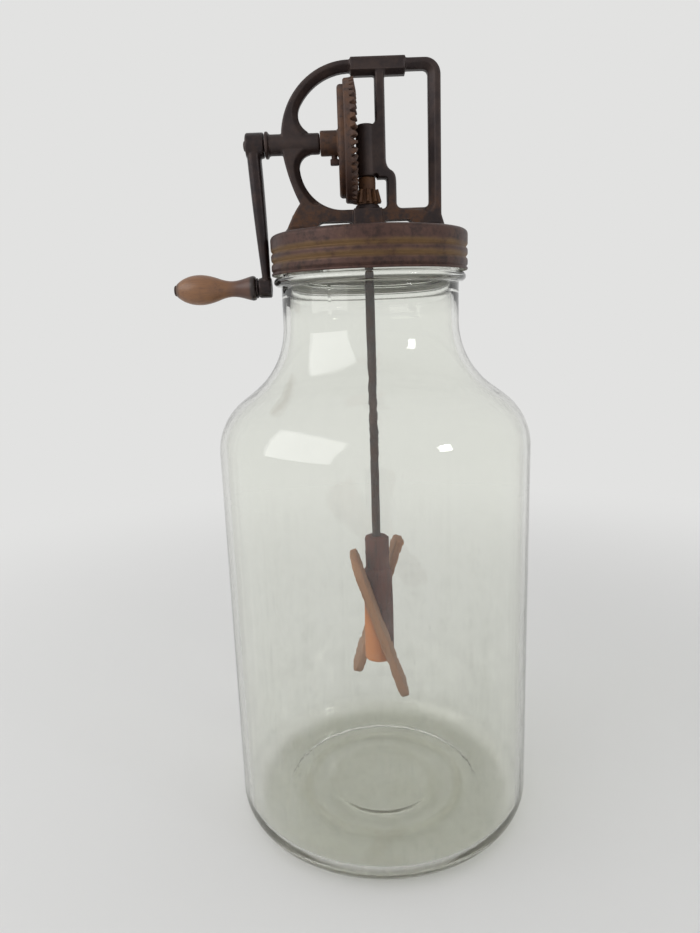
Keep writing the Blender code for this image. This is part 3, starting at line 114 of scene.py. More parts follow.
def tint(name, description, red, green, blue):
    """A colour given by its three screen values from 0 to 255."""
    return FloatVectorProperty(
        name=name,
        description=description,
        default=(linear(red), linear(green), linear(blue)),
        min=0,
        max=1,
        size=3,
        subtype="COLOR",
    )


class ChurnJarSizes(bpy.types.PropertyGroup):
    height: length("Height", "Height of the glass to its lip", 449.0 * MM)
    radius: length("Radius", "Radius of the jar's straight side", 117.25 * MM)
    wall: length("Wall", "Thickness of the glass", 5.0 * MM)
    floor: length("Floor", "Thickness of the glass under the dasher", 8.0 * MM)
    heel: length("Heel", "Radius of the rounded lower edge", 20.5 * MM)
    foot_ring: length("Foot ring", "Width of the ring that the jar stands on", 16.0 * MM)
    punt: length("Punt", "Depth of the hollow under the jar", 1.5 * MM)
    centre_pad: length("Centre pad", "Radius of the flat disc inside the hollow", 26.0 * MM)
    neck_radius: length("Neck radius", "Outer radius of the straight neck", 64.8 * MM)
    neck_length: length("Neck length", "Straight length of the neck", 27.1 * MM)
    bead_step: length("Bead step", "How far the ring below the lid stands out", 4.0 * MM)
    bead_height: length("Bead height", "Height of the ring below the lid", 6.4 * MM)
    finish_step: length("Finish step", "How far the threaded part stands out", 1.2 * MM)
    finish_height: length("Finish height", "Height of the threaded part", 24.8 * MM)
    lip: length("Lip", "Rounding of the lip", 1.8 * MM)
    mould_ring: length("Mould ring", "Radius of the ring on the floor", 64.0 * MM)
    ring_width: length("Ring width", "Half the width of the rings on the floor", 2.6 * MM)
    ring_rise: length("Ring rise", "Height of the rings on the floor", 0.9 * MM)
    thread: length("Thread", "How far the thread stands out", 2.8 * MM)
    thread_width: length("Thread width", "Width of the thread at its foot", 4.4 * MM)
    thread_lead: length("Thread lead", "Rise of the thread in one turn", 8.0 * MM)
    shoulder: share("Shoulder", "Shoulder radius as a share of the step to the neck", 0.87)
    sweep: share("Neck sweep", "Radius of the sweep into the neck as a share of the step", 1.137)
    slope: turn("Slope", "Turn of the shoulder before it sweeps up", 53)


class ChurnLidSizes(bpy.types.PropertyGroup):
    base: length("Lower edge", "Height of the lid's lower edge above the ground", 425.5 * MM)
    height: length("Height", "Height of the lid", 27.5 * MM)
    radius: length("Radius", "Outer radius of the skirt", 71.2 * MM)
    sheet: length("Sheet", "Thickness of the tin", 0.8 * MM)
    groove: length("Groove", "Depth of the rolled grooves", 1.3 * MM)
    corner: length("Corner", "Rounding of the upper edge", 3.2 * MM)
    hole: length("Hole", "Radius of the middle hole", 6.9 * MM)


class ChurnFrameSizes(bpy.types.PropertyGroup):
    base: length("Base", "Height of the feet above the ground", 453.3 * MM)
    height: length("Height", "Height of the casting without its plate", 114.2 * MM)
    depth: length("Depth", "Thickness of the casting", 12.0 * MM)
    edge_depth: length("Edge depth", "Thickness left at the edge of an opening", 5.0 * MM)
    edge_round: length("Edge rounding", "Rounding of the outer edges", 1.2 * MM)
    shaft: length("Shaft height", "Height of the crank shaft above the feet", 62.1 * MM)
    arc: length("Arc radius", "Outer radius of the arched side", 49.2 * MM)
    arc_offset: length("Arc offset", "How far left of the rod the arch is centred", 10.3 * MM)
    bar: length("Bar", "Width of the arch", 8.7 * MM)
    top_bar: length("Top bar", "Width of the top bar", 7.0 * MM)
    bevel: length("Bevel", "Width of the slope down to an opening", 4.3 * MM)
    strut_bevel: length("Strut bevel", "Width of the slope beside the strut", 1.0 * MM)
    reach: length("Right reach", "X of the right bar's outer edge", 52.6 * MM)
    right_bar: length("Right bar", "Width of the right bar", 8.6 * MM)
    outer_corner: length("Outer corner", "Radius of the upper right corner", 11.0 * MM)
    inner_corner: length("Inner corner", "Radius of the right opening's corners", 3.5 * MM)
    upper_fillet: length("Upper fillet", "Radius above the bearing", 12.5 * MM)
    lower_fillet: length("Lower fillet", "Radius below the bearing", 9.3 * MM)
    lower_sweep: length("Lower sweep", "Radius of the sweep into the rail", 30.6 * MM)
    limb: length("Limb", "Width of the limb at the bearing", 12.0 * MM)
    bulge: length("Limb bulge", "How far left of the waist the limb leans out", 7.8 * MM)
    bulge_height: length("Bulge height", "Height of that lean above the waist", 14.7 * MM)
    waist: length("Waist height", "Height at which the limb is narrowest", 22.0 * MM)
    waist_inset: length("Waist inset", "How far the waist is drawn in", 11.3 * MM)
    rail_rise: length("Rail rise", "Height of the rail's underside", 8.8 * MM)
    rail: length("Rail", "Height of the rail itself", 8.2 * MM)
    left_toe: length("Left toe", "How far the left foot spreads from the waist", 12.6 * MM)
    right_toe: length("Right toe", "How far the right foot spreads from the bar", 4.2 * MM)
    foot_length: length("Foot length", "Length of a foot along the frame", 20.0 * MM)
    foot_width: length("Foot width", "Width of a foot across the frame", 22.0 * MM)
    foot_height: length("Foot height", "Thickness of a foot", 3.6 * MM)
    foot_crown: length("Foot crown", "Height of the slope above a foot", 11.0 * MM)
    strut: length("Strut", "Width of the middle strut", 7.1 * MM)
    overlap: length("Strut overlap", "How far the strut reaches into the boss", 0.5 * MM)
    jog: length("Jog", "How far the strut steps aside under the boss", 7.1 * MM)
    jog_low: length("Jog foot", "Height at which the step starts", 34.8 * MM)
    jog_height: length("Jog height", "Height of the step", 16.0 * MM)
    bearing: length("Bearing", "Radius of the bearing tube", 7.1 * MM)
    flange: length("Flange", "Radius of the bearing's flange", 9.1 * MM)
    flange_thickness: length("Flange thickness", "Thickness of the flange", 2.4 * MM)
    flange_reach: length("Flange reach", "How far left of the rod the flange's face is", 71.3 * MM)
    bearing_reach: length("Bearing reach", "How far left of the rod the tube ends", 32.55 * MM)
    boss: length("Boss", "Radius of the middle boss", 7.2 * MM)
    boss_above: length("Boss above", "How far the boss rises over the shaft", 11.4 * MM)
    boss_below: length("Boss below", "How far the boss hangs under the shaft", 23.5 * MM)
    web_drop: length("Web drop", "How far the web beside the boss hangs below it", 1.6 * MM)
    web_gap: length("Web gap", "Air between that web and the small gear's sleeve", 0.9 * MM)
    boss_fillet: length("Boss fillet", "Radius between the boss and the strut", 3.6 * MM)
    window_fillet: length("Opening fillet", "Radius where the strut meets the rail", 3.0 * MM)
    plate_length: length("Plate length", "Length of the bare plate on the top bar", 37.8 * MM)
    plate_height: length("Plate height", "Height of the plate", 11.2 * MM)
    plate_depth: length("Plate depth", "Thickness of the plate", 13.4 * MM)
    plate_offset: length("Plate offset", "How far right of the rod the plate is centred", 9.3 * MM)
    plate_proud: length("Plate proud", "How far the plate stands over the top bar", 1.4 * MM)
    plate_taper: length("Plate taper", "Height over which the plate draws in below", 3.0 * MM)
    block_length: length("Block length", "Length of the block under the rail", 20.6 * MM)
    block_depth: length("Block depth", "Depth of the block", 19.0 * MM)
    pad: length("Pad", "Radius of the pad under the small gear", 9.0 * MM)
    pad_top: length("Pad top", "Height of the pad above the feet", 19.93 * MM)
    sleeve: length("Sleeve", "Radius of the sleeve through the lid", 6.6 * MM)
    sleeve_drop: length("Sleeve drop", "How far the sleeve reaches below the feet", 9.5 * MM)
    grain: length("Casting grain", "Fineness of the casting's surface", 0.55 * MM)


class ChurnGearSizes(bpy.types.PropertyGroup):
    wheel_teeth: count("Wheel teeth", "Teeth on the large gear", 46)
    pinion_teeth: count("Pinion teeth", "Teeth on the small gear", 10)
    module: length("Module", "Pitch diameter divided by the teeth", 1.79 * MM)
    face: length("Face", "Length of a tooth along the cone", 9.2 * MM)
    pressure: turn("Pressure angle", "Slope of a tooth's flank", 20)
    tooth: share("Tooth share", "Width of a tooth as a share of the pitch", 0.455)
    wheel_tip: share("Wheel tip", "Height of a wheel tooth over the pitch line, in modules", 0.5)
    wheel_root: share("Wheel root", "Depth of a wheel gap under the pitch line, in modules", 1.4)
    pinion_tip: share("Pinion tip", "Height of a pinion tooth over the pitch line, in modules", 0.9)
    pinion_root: share("Pinion root", "Depth of a pinion gap under the pitch line, in modules", 1.0)
    rim_back: length("Rim back", "Thickness of the rim behind the pitch circle", 6.4 * MM)
    plate: length("Plate", "Thickness of the round plate behind the rim", 4.2 * MM)
    plate_margin: length("Plate margin", "How far the plate stays inside the rim", 4.4 * MM)
    plate_round: length("Plate rounding", "Rounding of the plate's edge", 2.4 * MM)
    web_recess: length("Web recess", "Depth of the hollow inside the teeth", 4.2 * MM)
    hub: length("Hub", "Radius of the wheel's hub", 8.4 * MM)
    hub_length: length("Hub length", "Length of the wheel's hub", 12.7 * MM)
    sleeve: length("Pinion sleeve", "Radius of the sleeve over the small gear", 6.1 * MM)
    pinion_base: length("Pinion base", "Thickness of the small gear under its teeth", 0.7 * MM)
    screw: length("Set screw", "Radius of the set screw's neck", 2.1 * MM)
    screw_head: length("Set screw head", "Width of the square head", 6.0 * MM)
    screw_head_height: length("Head height", "Height of the square head", 3.8 * MM)
    screw_stand: length("Head stand", "How far the head stands off the hub", 2.4 * MM)
    screw_inset: length("Screw inset", "How far the screw sits from the plate", 3.0 * MM)
    pin: length("Pin", "Radius of the cross pin", 1.1 * MM)


class ChurnCrankSizes(bpy.types.PropertyGroup):
    shaft: length("Shaft", "Radius of the crank shaft", 3.9 * MM)
    throw: length("Throw", "Distance from the shaft to the handle's pin", 97.4 * MM)
    face: length("Face", "How far left of the rod the arm's inner side is", 72.0 * MM)
    boss: length("Boss", "Radius of the boss on the shaft", 8.6 * MM)
    boss_length: length("Boss length", "Length of that boss", 13.0 * MM)
    boss_round: length("Boss rounding", "Rounding of both bosses", 1.6 * MM)
    foot: length("Foot", "Radius of the boss on the handle's pin", 7.2 * MM)
    foot_length: length("Foot length", "Length of that boss", 9.6 * MM)
    end_wall: length("End wall", "Iron left in front of the shaft's end", 2.2 * MM)
    thick_top: length("Thickness above", "Thickness of the arm at the shaft", 10.1 * MM)
    thick_foot: length("Thickness below", "Thickness of the arm at the pin", 5.8 * MM)
    broad_top: length("Breadth above", "Breadth of the arm at the shaft", 14.4 * MM)
    broad_foot: length("Breadth below", "Breadth of the arm at the pin", 11.0 * MM)
    inset_top: length("Inset above", "How far the arm's top sits behind the face", 2.5 * MM)
    inset_foot: length("Inset below", "How far the arm's foot sits behind the face", 0.6 * MM)
    screw: length("Screw", "Radius of the end screw", 2.0 * MM)
    screw_head: length("Screw head", "Radius of the end screw's head", 3.6 * MM)
    screw_head_height: length("Screw head height", "Height of that head", 1.4 * MM)
    grain: length("Casting grain", "Fineness of the arm's surface", 0.45 * MM)


class ChurnGripSizes(bpy.types.PropertyGroup):
    length: length("Length", "Length of the wooden grip", 58.6 * MM)
    radius: length("Radius", "Largest radius of the grip", 10.8 * MM)
    washer: length("Washer", "Radius of the washer beside the arm", 7.2 * MM)
    washer_thickness: length("Washer thickness", "Thickness of the washer", 1.2 * MM)
    pin: length("Pin", "Radius of the pin through the grip", 2.8 * MM)
    pin_head: length("Pin head", "Radius of the riveted end", 3.9 * MM)
    pin_head_height: length("Pin head height", "Height of the riveted end", 1.5 * MM)


class ChurnDasherSizes(bpy.types.PropertyGroup):
    rod: length("Rod", "Radius of the rod", 3.2 * MM)
    rod_top: length("Rod top", "Height of the rod's upper end", 522.3 * MM)
    rod_bottom: length("Rod bottom", "Height of the rod's lower end in the hub", 150.0 * MM)
    base: length("Hub base", "Height of the hub's underside", 121.5 * MM)
    lower: length("Lower part", "Height of the hub's broad part", 75.5 * MM)
    collar: length("Collar", "Height of the hub's collar", 28.0 * MM)
    foot: length("Foot radius", "Radius of the hub's underside", 12.2 * MM)
    shoulder: length("Shoulder radius", "Radius of the broad part's top", 11.4 * MM)
    collar_radius: length("Collar radius", "Radius of the collar", 9.1 * MM)
    rounding: length("Rounding", "Rounding of the hub's edges", 2.0 * MM)
    pin: length("Pin", "Radius of the cross pin", 1.1 * MM)
    blade: length("Blade length", "Length of a blade", 124.0 * MM)
    blade_reach: length("Blade reach", "How far a blade reaches from the rod", 39.0 * MM)
    blade_inner: length("Blade root", "How near a blade comes to the rod", 7.0 * MM)
    blade_thickness: length("Blade thickness", "Thickness of a blade", 6.0 * MM)
    blade_rise: length("Blade rise", "Height of a blade's middle over the hub's base", 36.5 * MM)
    blade_tilt: turn("Blade tilt", "Lean of a blade from upright", 18)


class ChurnColours(bpy.types.PropertyGroup):
    glass: tint("Glass", "Tint of the glass", 250, 251, 247)
    # Painted shade: this grey stands in for the dark room refracted where the glass is seen edgewise.
    glass_edge_shade: tint("Glass edge", "Tint of the glass where it is seen edgewise", 176, 174, 164)
    glass_shadow: tint("Glass shadow", "Light that the glass lets through", 236, 237, 233)
    # Painted highlight on the floor's rings: this pale olive film stands in for their lens-like highlights.
    # On the heel it is the heel's olive tint.
    glass_heel_and_ring_highlight: tint("Glass heel", "Film on the rings and the heel of the jar", 176, 172, 146)
    haze: tint("Haze", "Wear and dried film on the glass", 220, 222, 218)
    tin: tint("Tin", "Ridges of the rusted lid", 80, 57, 50)
    tin_groove: tint("Tin grooves", "Golden rust in the lid's grooves", 118, 92, 62)
    tin_dark: tint("Tin stains", "Dark stains on the lid", 52, 38, 35)
    lid_inside: tint("Lid inside", "Pale inside of the lid", 222, 220, 212)
    iron: tint("Iron", "Frame casting", 44, 35, 35)
    iron_worn: tint("Worn iron", "Edges and ribs of the casting", 78, 66, 62)
    iron_rust: tint("Iron rust", "Rust low on the casting", 92, 62, 42)
    crank: tint("Crank", "Crank arm", 32, 25, 27)
    crank_worn: tint("Worn crank", "Polished places of the crank arm", 62, 50, 48)
    wheel: tint("Wheel", "Large gear", 72, 53, 46)
    pinion: tint("Pinion", "Small gear and pad", 98, 64, 34)
    # Also painted shade: on the grip's flared rim and riveted tip this dark colour stands for shade.
    grease_and_shade: tint("Grease", "Dark dirt in the teeth", 24, 16, 13)
    steel: tint("Steel", "Rod and fasteners", 64, 54, 52)
    steel_rust: tint("Steel rust", "Rust on rod and fasteners", 70, 46, 36)
    grip: tint("Grip", "Handled wood of the grip", 132, 92, 60)
    grip_dark: tint("Grip neck", "Old varnish on the grip's neck", 78, 50, 42)
    # Painted shade: this dark maroon is the hub's wood on the side shaded by the front blade.
    hub: tint("Hub", "Wood of the hub", 92, 40, 28)
    # Painted window light: the same wood where it is lit, shown low on the hub's left.
    hub_lit_side: tint("Bare hub", "Bare wood low on the hub", 196, 124, 72)
    blade: tint("Blades", "Wood of the blades", 150, 108, 78)
    blade_dark: tint("Blade grain", "Dark grain of the blades", 122, 82, 62)
    cork: tint("Gasket", "Cork of the gasket", 214, 204, 186)
    ground: tint("Floor", "Floor and backdrop", 226, 226, 225)


class ChurnStudio(bpy.types.PropertyGroup):
    focal: FloatProperty(
        name="Lens", description="Focal length of the camera in millimetres", default=27.05, min=5
    )
    tilt: turn("Camera tilt", "Tilt of the camera from straight down", 77.75)
    roll: turn("Camera roll", "Roll of the camera", -2.0)
    world: FloatProperty(name="World", description="Strength of the soft light", default=0.7, min=0)
    key: FloatProperty(name="Window", description="Power of the window light", default=17.0, min=0)
    fill: FloatProperty(name="Fill", description="Power of the fill light", default=2.5, min=0)


# Modelling helpers


def to_object_mode():
    if bpy.context.mode != "OBJECT":
        bpy.ops.object.mode_set(mode="OBJECT")


def start_piece(name):
    """A new, still empty piece in edit mode: a small plane whose corners are taken away."""
    to_object_mode()
    bpy.ops.object.select_all(action="DESELECT")
    bpy.ops.mesh.primitive_plane_add(size=MM)
    made = bpy.context.object
    made.name = name
    made.data.name = name
    bpy.ops.object.mode_set(mode="EDIT")
    bpy.ops.mesh.delete(type="VERT")
    return made


def select_points(test):
    """Select the corners that pass a test, with the edges and faces between them."""
    mesh = bpy.context.object.data
    shape = bmesh.from_edit_mesh(mesh)
    for part in (*shape.faces, *shape.edges, *shape.verts):
        part.select = False
    for vertex in shape.verts:
        vertex.select = bool(test(vertex.co))
    shape.select_flush_mode()
    bmesh.update_edit_mesh(mesh)


def select_edges(test):
    """Select the edges that pass a test, and nothing else."""
    mesh = bpy.context.object.data
    shape = bmesh.from_edit_mesh(mesh)
    for part in (*shape.faces, *shape.edges, *shape.verts):
        part.select = False
    for edge in shape.edges:
        if test(edge):
            edge.select = True
    bmesh.update_edit_mesh(mesh)


def draw_line(points, closed):
    """Draw edges from point to point, starting from a plane that is drawn together."""
    points = [Vector(point) for point in points]
    bpy.ops.mesh.select_all(action="DESELECT")
    bpy.ops.mesh.primitive_plane_add(size=MM, location=points[0])
    bpy.ops.mesh.merge(type="CENTER")
    for here, there in zip(points, points[1:]):
        bpy.ops.mesh.extrude_region_move(TRANSFORM_OT_translate={"value": there - here})
    if closed:
        ends = (points[0], points[-1])
        select_points(lambda place: min((place - end).length for end in ends) < WELD)
        bpy.ops.mesh.edge_face_add()


def tidy_surface():
    """Weld doubles and turn every face outwards."""
    bpy.ops.mesh.select_all(action="SELECT")
    bpy.ops.mesh.remove_doubles(threshold=WELD)
    bpy.ops.mesh.normals_make_consistent(inside=False)
    bpy.ops.object.mode_set(mode="OBJECT")


def spin_line(outline, axis, centre, steps):
    """Draw a (radius, along) outline and spin it about an axis, X or Z, through a centre."""
    centre = Vector(centre)
    along = Vector((1, 0, 0)) if axis == "X" else Vector((0, 0, 1))
    out = Vector((0, 0, 1)) if axis == "X" else Vector((1, 0, 0))
    points = [centre + out * radius + along * place for radius, place in outline]
    ring = outline[0][0] > 0
    draw_line(points, ring)
    if ring:
        bpy.ops.mesh.select_linked()
    else:
        select_points(lambda place: any((place - point).length < WELD for point in points))
    bpy.ops.mesh.spin(steps=steps, angle=math.tau, center=centre, axis=along)


def turned_piece(name, outline, axis="Z", centre=(0, 0, 0), steps=96):
    """A piece turned on a lathe: a closed ring, or a solid whose outline ends on the axis."""
    made = start_piece(name)
    spin_line(outline, axis, centre, steps)
    tidy_surface()
    return made


def lofted_piece(name, sections, along):
    """Join closed sections that stand one behind the other, with a cap at each end."""
    made = start_piece(name)
    for section in sections:
        draw_line(section, True)
    places = [section[0][along] for section in sections]

    def at(place, level):
        return abs(place[along] - level) < WELD

    for near, far in zip(places, places[1:]):
        select_edges(
            lambda edge: all(at(v.co, near) for v in edge.verts)
            or all(at(v.co, far) for v in edge.verts)
        )
        bpy.ops.mesh.bridge_edge_loops()
    for end in (places[0], places[-1]):
        select_edges(lambda edge: all(at(v.co, end) for v in edge.verts))
        bpy.ops.mesh.edge_face_add()
    tidy_surface()
    return made


def coiled_piece(name, sections):
    """Join closed sections that follow one another round a coil, with a cap at each end."""
    made = start_piece(name)
    for section in sections:
        draw_line(section, True)
    bpy.ops.mesh.select_all(action="SELECT")
    bpy.ops.mesh.bridge_edge_loops()
    bpy.ops.mesh.select_all(action="SELECT")
    bpy.ops.mesh.fill_holes(sides=0)
    tidy_surface()
    return made


def block_piece(name, low, high, rounding, segments=3):
    """A box between two corners with its edges rounded."""
    made = start_piece(name)
    size = Vector(high) - Vector(low)
    bpy.ops.mesh.primitive_cube_add(size=1, location=(Vector(high) + Vector(low)) / 2, scale=size)
    bpy.ops.mesh.bevel(offset=rounding, segments=segments, profile=0.5, affect="EDGES")
    tidy_surface()
    return made


def apply_modifier(piece, kind, **settings):
    to_object_mode()
    bpy.ops.object.select_all(action="DESELECT")
    bpy.context.view_layer.objects.active = piece
    piece.select_set(True)
    modifier = piece.modifiers.new(kind.lower(), kind)
    for setting, value in settings.items():
        setattr(modifier, setting, value)
    bpy.ops.object.modifier_apply(modifier=modifier.name)


def boolean(piece, helper, operation, solver="MANIFOLD"):
    """Cut a helper out of a piece or fuse it on, and take the helper away."""
    before = len(piece.data.polygons)
    apply_modifier(piece, "BOOLEAN", operation=operation, object=helper, solver=solver)
    if len(piece.data.polygons) in (0, before):
        raise RuntimeError(f"{helper.name} changed nothing on {piece.name}")
    bpy.data.objects.remove(helper, do_unlink=True)


def join_pieces(piece, others):
    to_object_mode()
    bpy.ops.object.select_all(action="DESELECT")
    for other in others:
        other.select_set(True)
    piece.select_set(True)
    bpy.context.view_layer.objects.active = piece
    bpy.ops.object.join()


def shade(piece, angle=35.0):
    """Shade smooth, with edges sharper than an angle in degrees kept."""
    to_object_mode()
    bpy.ops.object.select_all(action="DESELECT")
    bpy.context.view_layer.objects.active = piece
    piece.select_set(True)
    bpy.ops.object.shade_smooth_by_angle(angle=math.radians(angle))


def cast_surface(piece, grain, passes):
    """Give joined solids one skin with the soft edges and inner corners of a casting."""
    apply_modifier(piece, "REMESH", mode="VOXEL", voxel_size=grain, adaptivity=0)
    apply_modifier(piece, "SMOOTH", factor=0.5, iterations=passes)
    bpy.ops.object.select_all(action="DESELECT")
    piece.select_set(True)
    bpy.ops.object.shade_smooth()


def dress(piece, body, nodes, finish):
    """Hang a finished piece on its body in place of its solids."""
    if not piece.data.polygons:
        raise RuntimeError(f"{piece.name} has no faces")
    piece.data.materials.clear()
    piece.data.materials.append(finish)
    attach(piece, body)
    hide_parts(*nodes)


def paint_node(node, finish):
    """Give a carried-over solid its finish."""
    piece = frame["nodes"][node]
    piece.data.materials.clear()
    piece.data.materials.append(finish)


def arc(centre_x, centre_z, radius, start, end, steps):
    """Points on an arc, both ends included; angles run from +X towards +Z."""
    angles = [start + (end - start) * step / steps for step in range(steps + 1)]
    return [(centre_x + radius * math.cos(a), centre_z + radius * math.sin(a)) for a in angles]


def curve_through(start, control, end, steps):
    """Points on the curve from start to end that leans towards control."""
    points = []
    for step in range(steps + 1):
        t = step / steps
        weights = ((1 - t) ** 2, 2 * t * (1 - t), t * t)
        corners = (start, control, end)
        points.append(tuple(sum(w * p[i] for w, p in zip(weights, corners)) for i in (0, 1)))
    return points


def smooth_profile(knots, steps):
    """Points on a smooth line through (place, value) knots, evenly spread between them."""
    points = []
    last = len(knots) - 1
    for index in range(last):
        before, start = knots[max(index - 1, 0)], knots[index]
        end, after = knots[index + 1], knots[min(index + 2, last)]
        for step in range(steps):
            t = step / steps
            points.append(tuple(spline(before[i], start[i], end[i], after[i], t) for i in (0, 1)))
    return points + [knots[last]]


def spline(before, start, end, after, t):
    """One coordinate of the smooth line that goes through start and end."""
    straight = end - start
    leave = (end - before) / 2
    arrive = (after - start) / 2
    cubic = leave + arrive - 2 * straight
    square = straight - leave - cubic
    return start + t * (leave + t * (square + t * cubic))


def pushed_out(outline, widths):
    """Move each edge of a counter-clockwise (x, z) outline outwards by its own width."""
    total = len(outline)
    normals = []
    for index, (x, z) in enumerate(outline):
        after = outline[(index + 1) % total]
        span = math.hypot(after[0] - x, after[1] - z)
        normals.append(((after[1] - z) / span, (x - after[0]) / span))
    moved = []
    for index, (x, z) in enumerate(outline):
        first, second = normals[index - 1], normals[index]
        near, far = widths[index - 1], widths[index]
        cross = first[0] * second[1] - first[1] * second[0]
        if abs(cross) < 0.35:
            along = 1 + first[0] * second[0] + first[1] * second[1]
            step_x = (first[0] + second[0]) / along * (near + far) / 2
            step_z = (first[1] + second[1]) / along * (near + far) / 2
        else:
            step_x = (near * second[1] - far * first[1]) / cross
            step_z = (far * first[0] - near * second[0]) / cross
        moved.append((x + step_x, z + step_z))
    return moved


# Shader helpers


class Value:
    """A shader socket used in plain arithmetic; each operator adds its Math node."""

    def __init__(self, finish, socket):
        self.finish = finish
        self.socket = socket

    def maths(self, operation, *values):
        """A Math node over values, or over this value and another."""
        node = self.finish.node("ShaderNodeMath", {"operation": operation}, dict(enumerate(values)))
        return Value(self.finish, node.outputs[0])

    def __add__(self, other):
        return self.maths("ADD", self, other)

    __radd__ = __add__

    def __mul__(self, other):
        return self.maths("MULTIPLY", self, other)

    __rmul__ = __mul__

    def __sub__(self, other):
        return self.maths("SUBTRACT", self, other)

    def __rsub__(self, other):
        return self.maths("SUBTRACT", other, self)

    def above(self, low, high):
        """0 below the first level, 1 over the second, and smooth between them."""
        node = self.finish.node(
            "ShaderNodeMapRange",
            {"interpolation_type": "SMOOTHSTEP"},
            {"Value": self, "From Min": low, "From Max": high},
        )
        return Value(self.finish, node.outputs[0])

    def band(self, middle, reach):
        """1 at one level and 0 beyond a reach on both sides of it."""
        return 1 - self.maths("ABSOLUTE", self - middle).above(0, reach)


class Finish:
    """A material and its nodes."""

    def __init__(self, name):
        self.material = bpy.data.materials.new(name)
        self.material.use_nodes = True
        self.tree = self.material.node_tree
        self.tree.nodes.clear()
        self.place = self.node("ShaderNodeTexCoord").outputs["Object"]
        self.output = self.node("ShaderNodeOutputMaterial")

    def node(self, kind, settings=None, sockets=None):
        """Add a node: its type, its settings, and the values or links of its sockets."""
        made = self.tree.nodes.new(kind)
        for setting, value in (settings or {}).items():
            setattr(made, setting, value)
        for socket, value in (sockets or {}).items():
            self.fill(made.inputs[socket], value)
        return made

    def fill(self, socket, value):
        if isinstance(value, Value):
            value = value.socket
        if isinstance(value, bpy.types.NodeSocket):
            self.tree.links.new(value, socket)
        elif hasattr(value, "__len__") and len(value) == 3 and socket.type == "RGBA":
            socket.default_value = (*value, 1)
        else:
            socket.default_value = value

    def axis(self, name):
        """One coordinate of the surface, in metres."""
        return Value(self, self.node("ShaderNodeSeparateXYZ", {}, {0: self.place}).outputs[name])

    def stretched(self, scale):
        """The surface's place with each axis scaled, so that a pattern runs long one way."""
        return self.node("ShaderNodeMapping", {}, {"Vector": self.place, "Scale": scale}).outputs[0]

    def noise(self, size, detail=4.0, roughness=0.55, place=None, distortion=0.0):
        """Soft cloudy variation whose patches are about one size, in metres."""
        sockets = {
            "Vector": place or self.place,
            "Scale": 1 / size,
            "Detail": detail,
            "Roughness": roughness,
            "Distortion": distortion,
        }
        return Value(self, self.node("ShaderNodeTexNoise", {}, sockets).outputs["Fac"])

    def cells(self, size, place=None):
        sockets = {"Vector": place or self.place, "Scale": 1 / size}
        return Value(self, self.node("ShaderNodeTexVoronoi", {}, sockets).outputs["Distance"])

    def worn_edges(self, low, high):
        """1 on the casting's outer edges and 0 on its faces and in its corners."""
        return Value(self, self.node("ShaderNodeNewGeometry").outputs["Pointiness"]).above(low, high)

    def mix(self, share_of_second, first, second):
        """Mix two colours."""
        sockets = {0: share_of_second, 6: first, 7: second}
        return self.node("ShaderNodeMix", {"data_type": "RGBA"}, sockets).outputs[2]

    def bump(self, height, distance, strength=1.0):
        sockets = {"Height": height, "Distance": distance, "Strength": strength}
        return self.node("ShaderNodeBump", {}, sockets).outputs["Normal"]

    def shader(self, **sockets):
        named = {name.replace("_", " ").title(): value for name, value in sockets.items()}
        for written, shown in (("Ior", "IOR"), ("Specular Ior Level", "Specular IOR Level")):
            if written in named:
                named[shown] = named.pop(written)
        return self.node("ShaderNodeBsdfPrincipled", {}, named).outputs[0]

    def finished(self, shader):
        self.fill(self.output.inputs["Surface"], shader)
        return self.material


FINISHES = {}


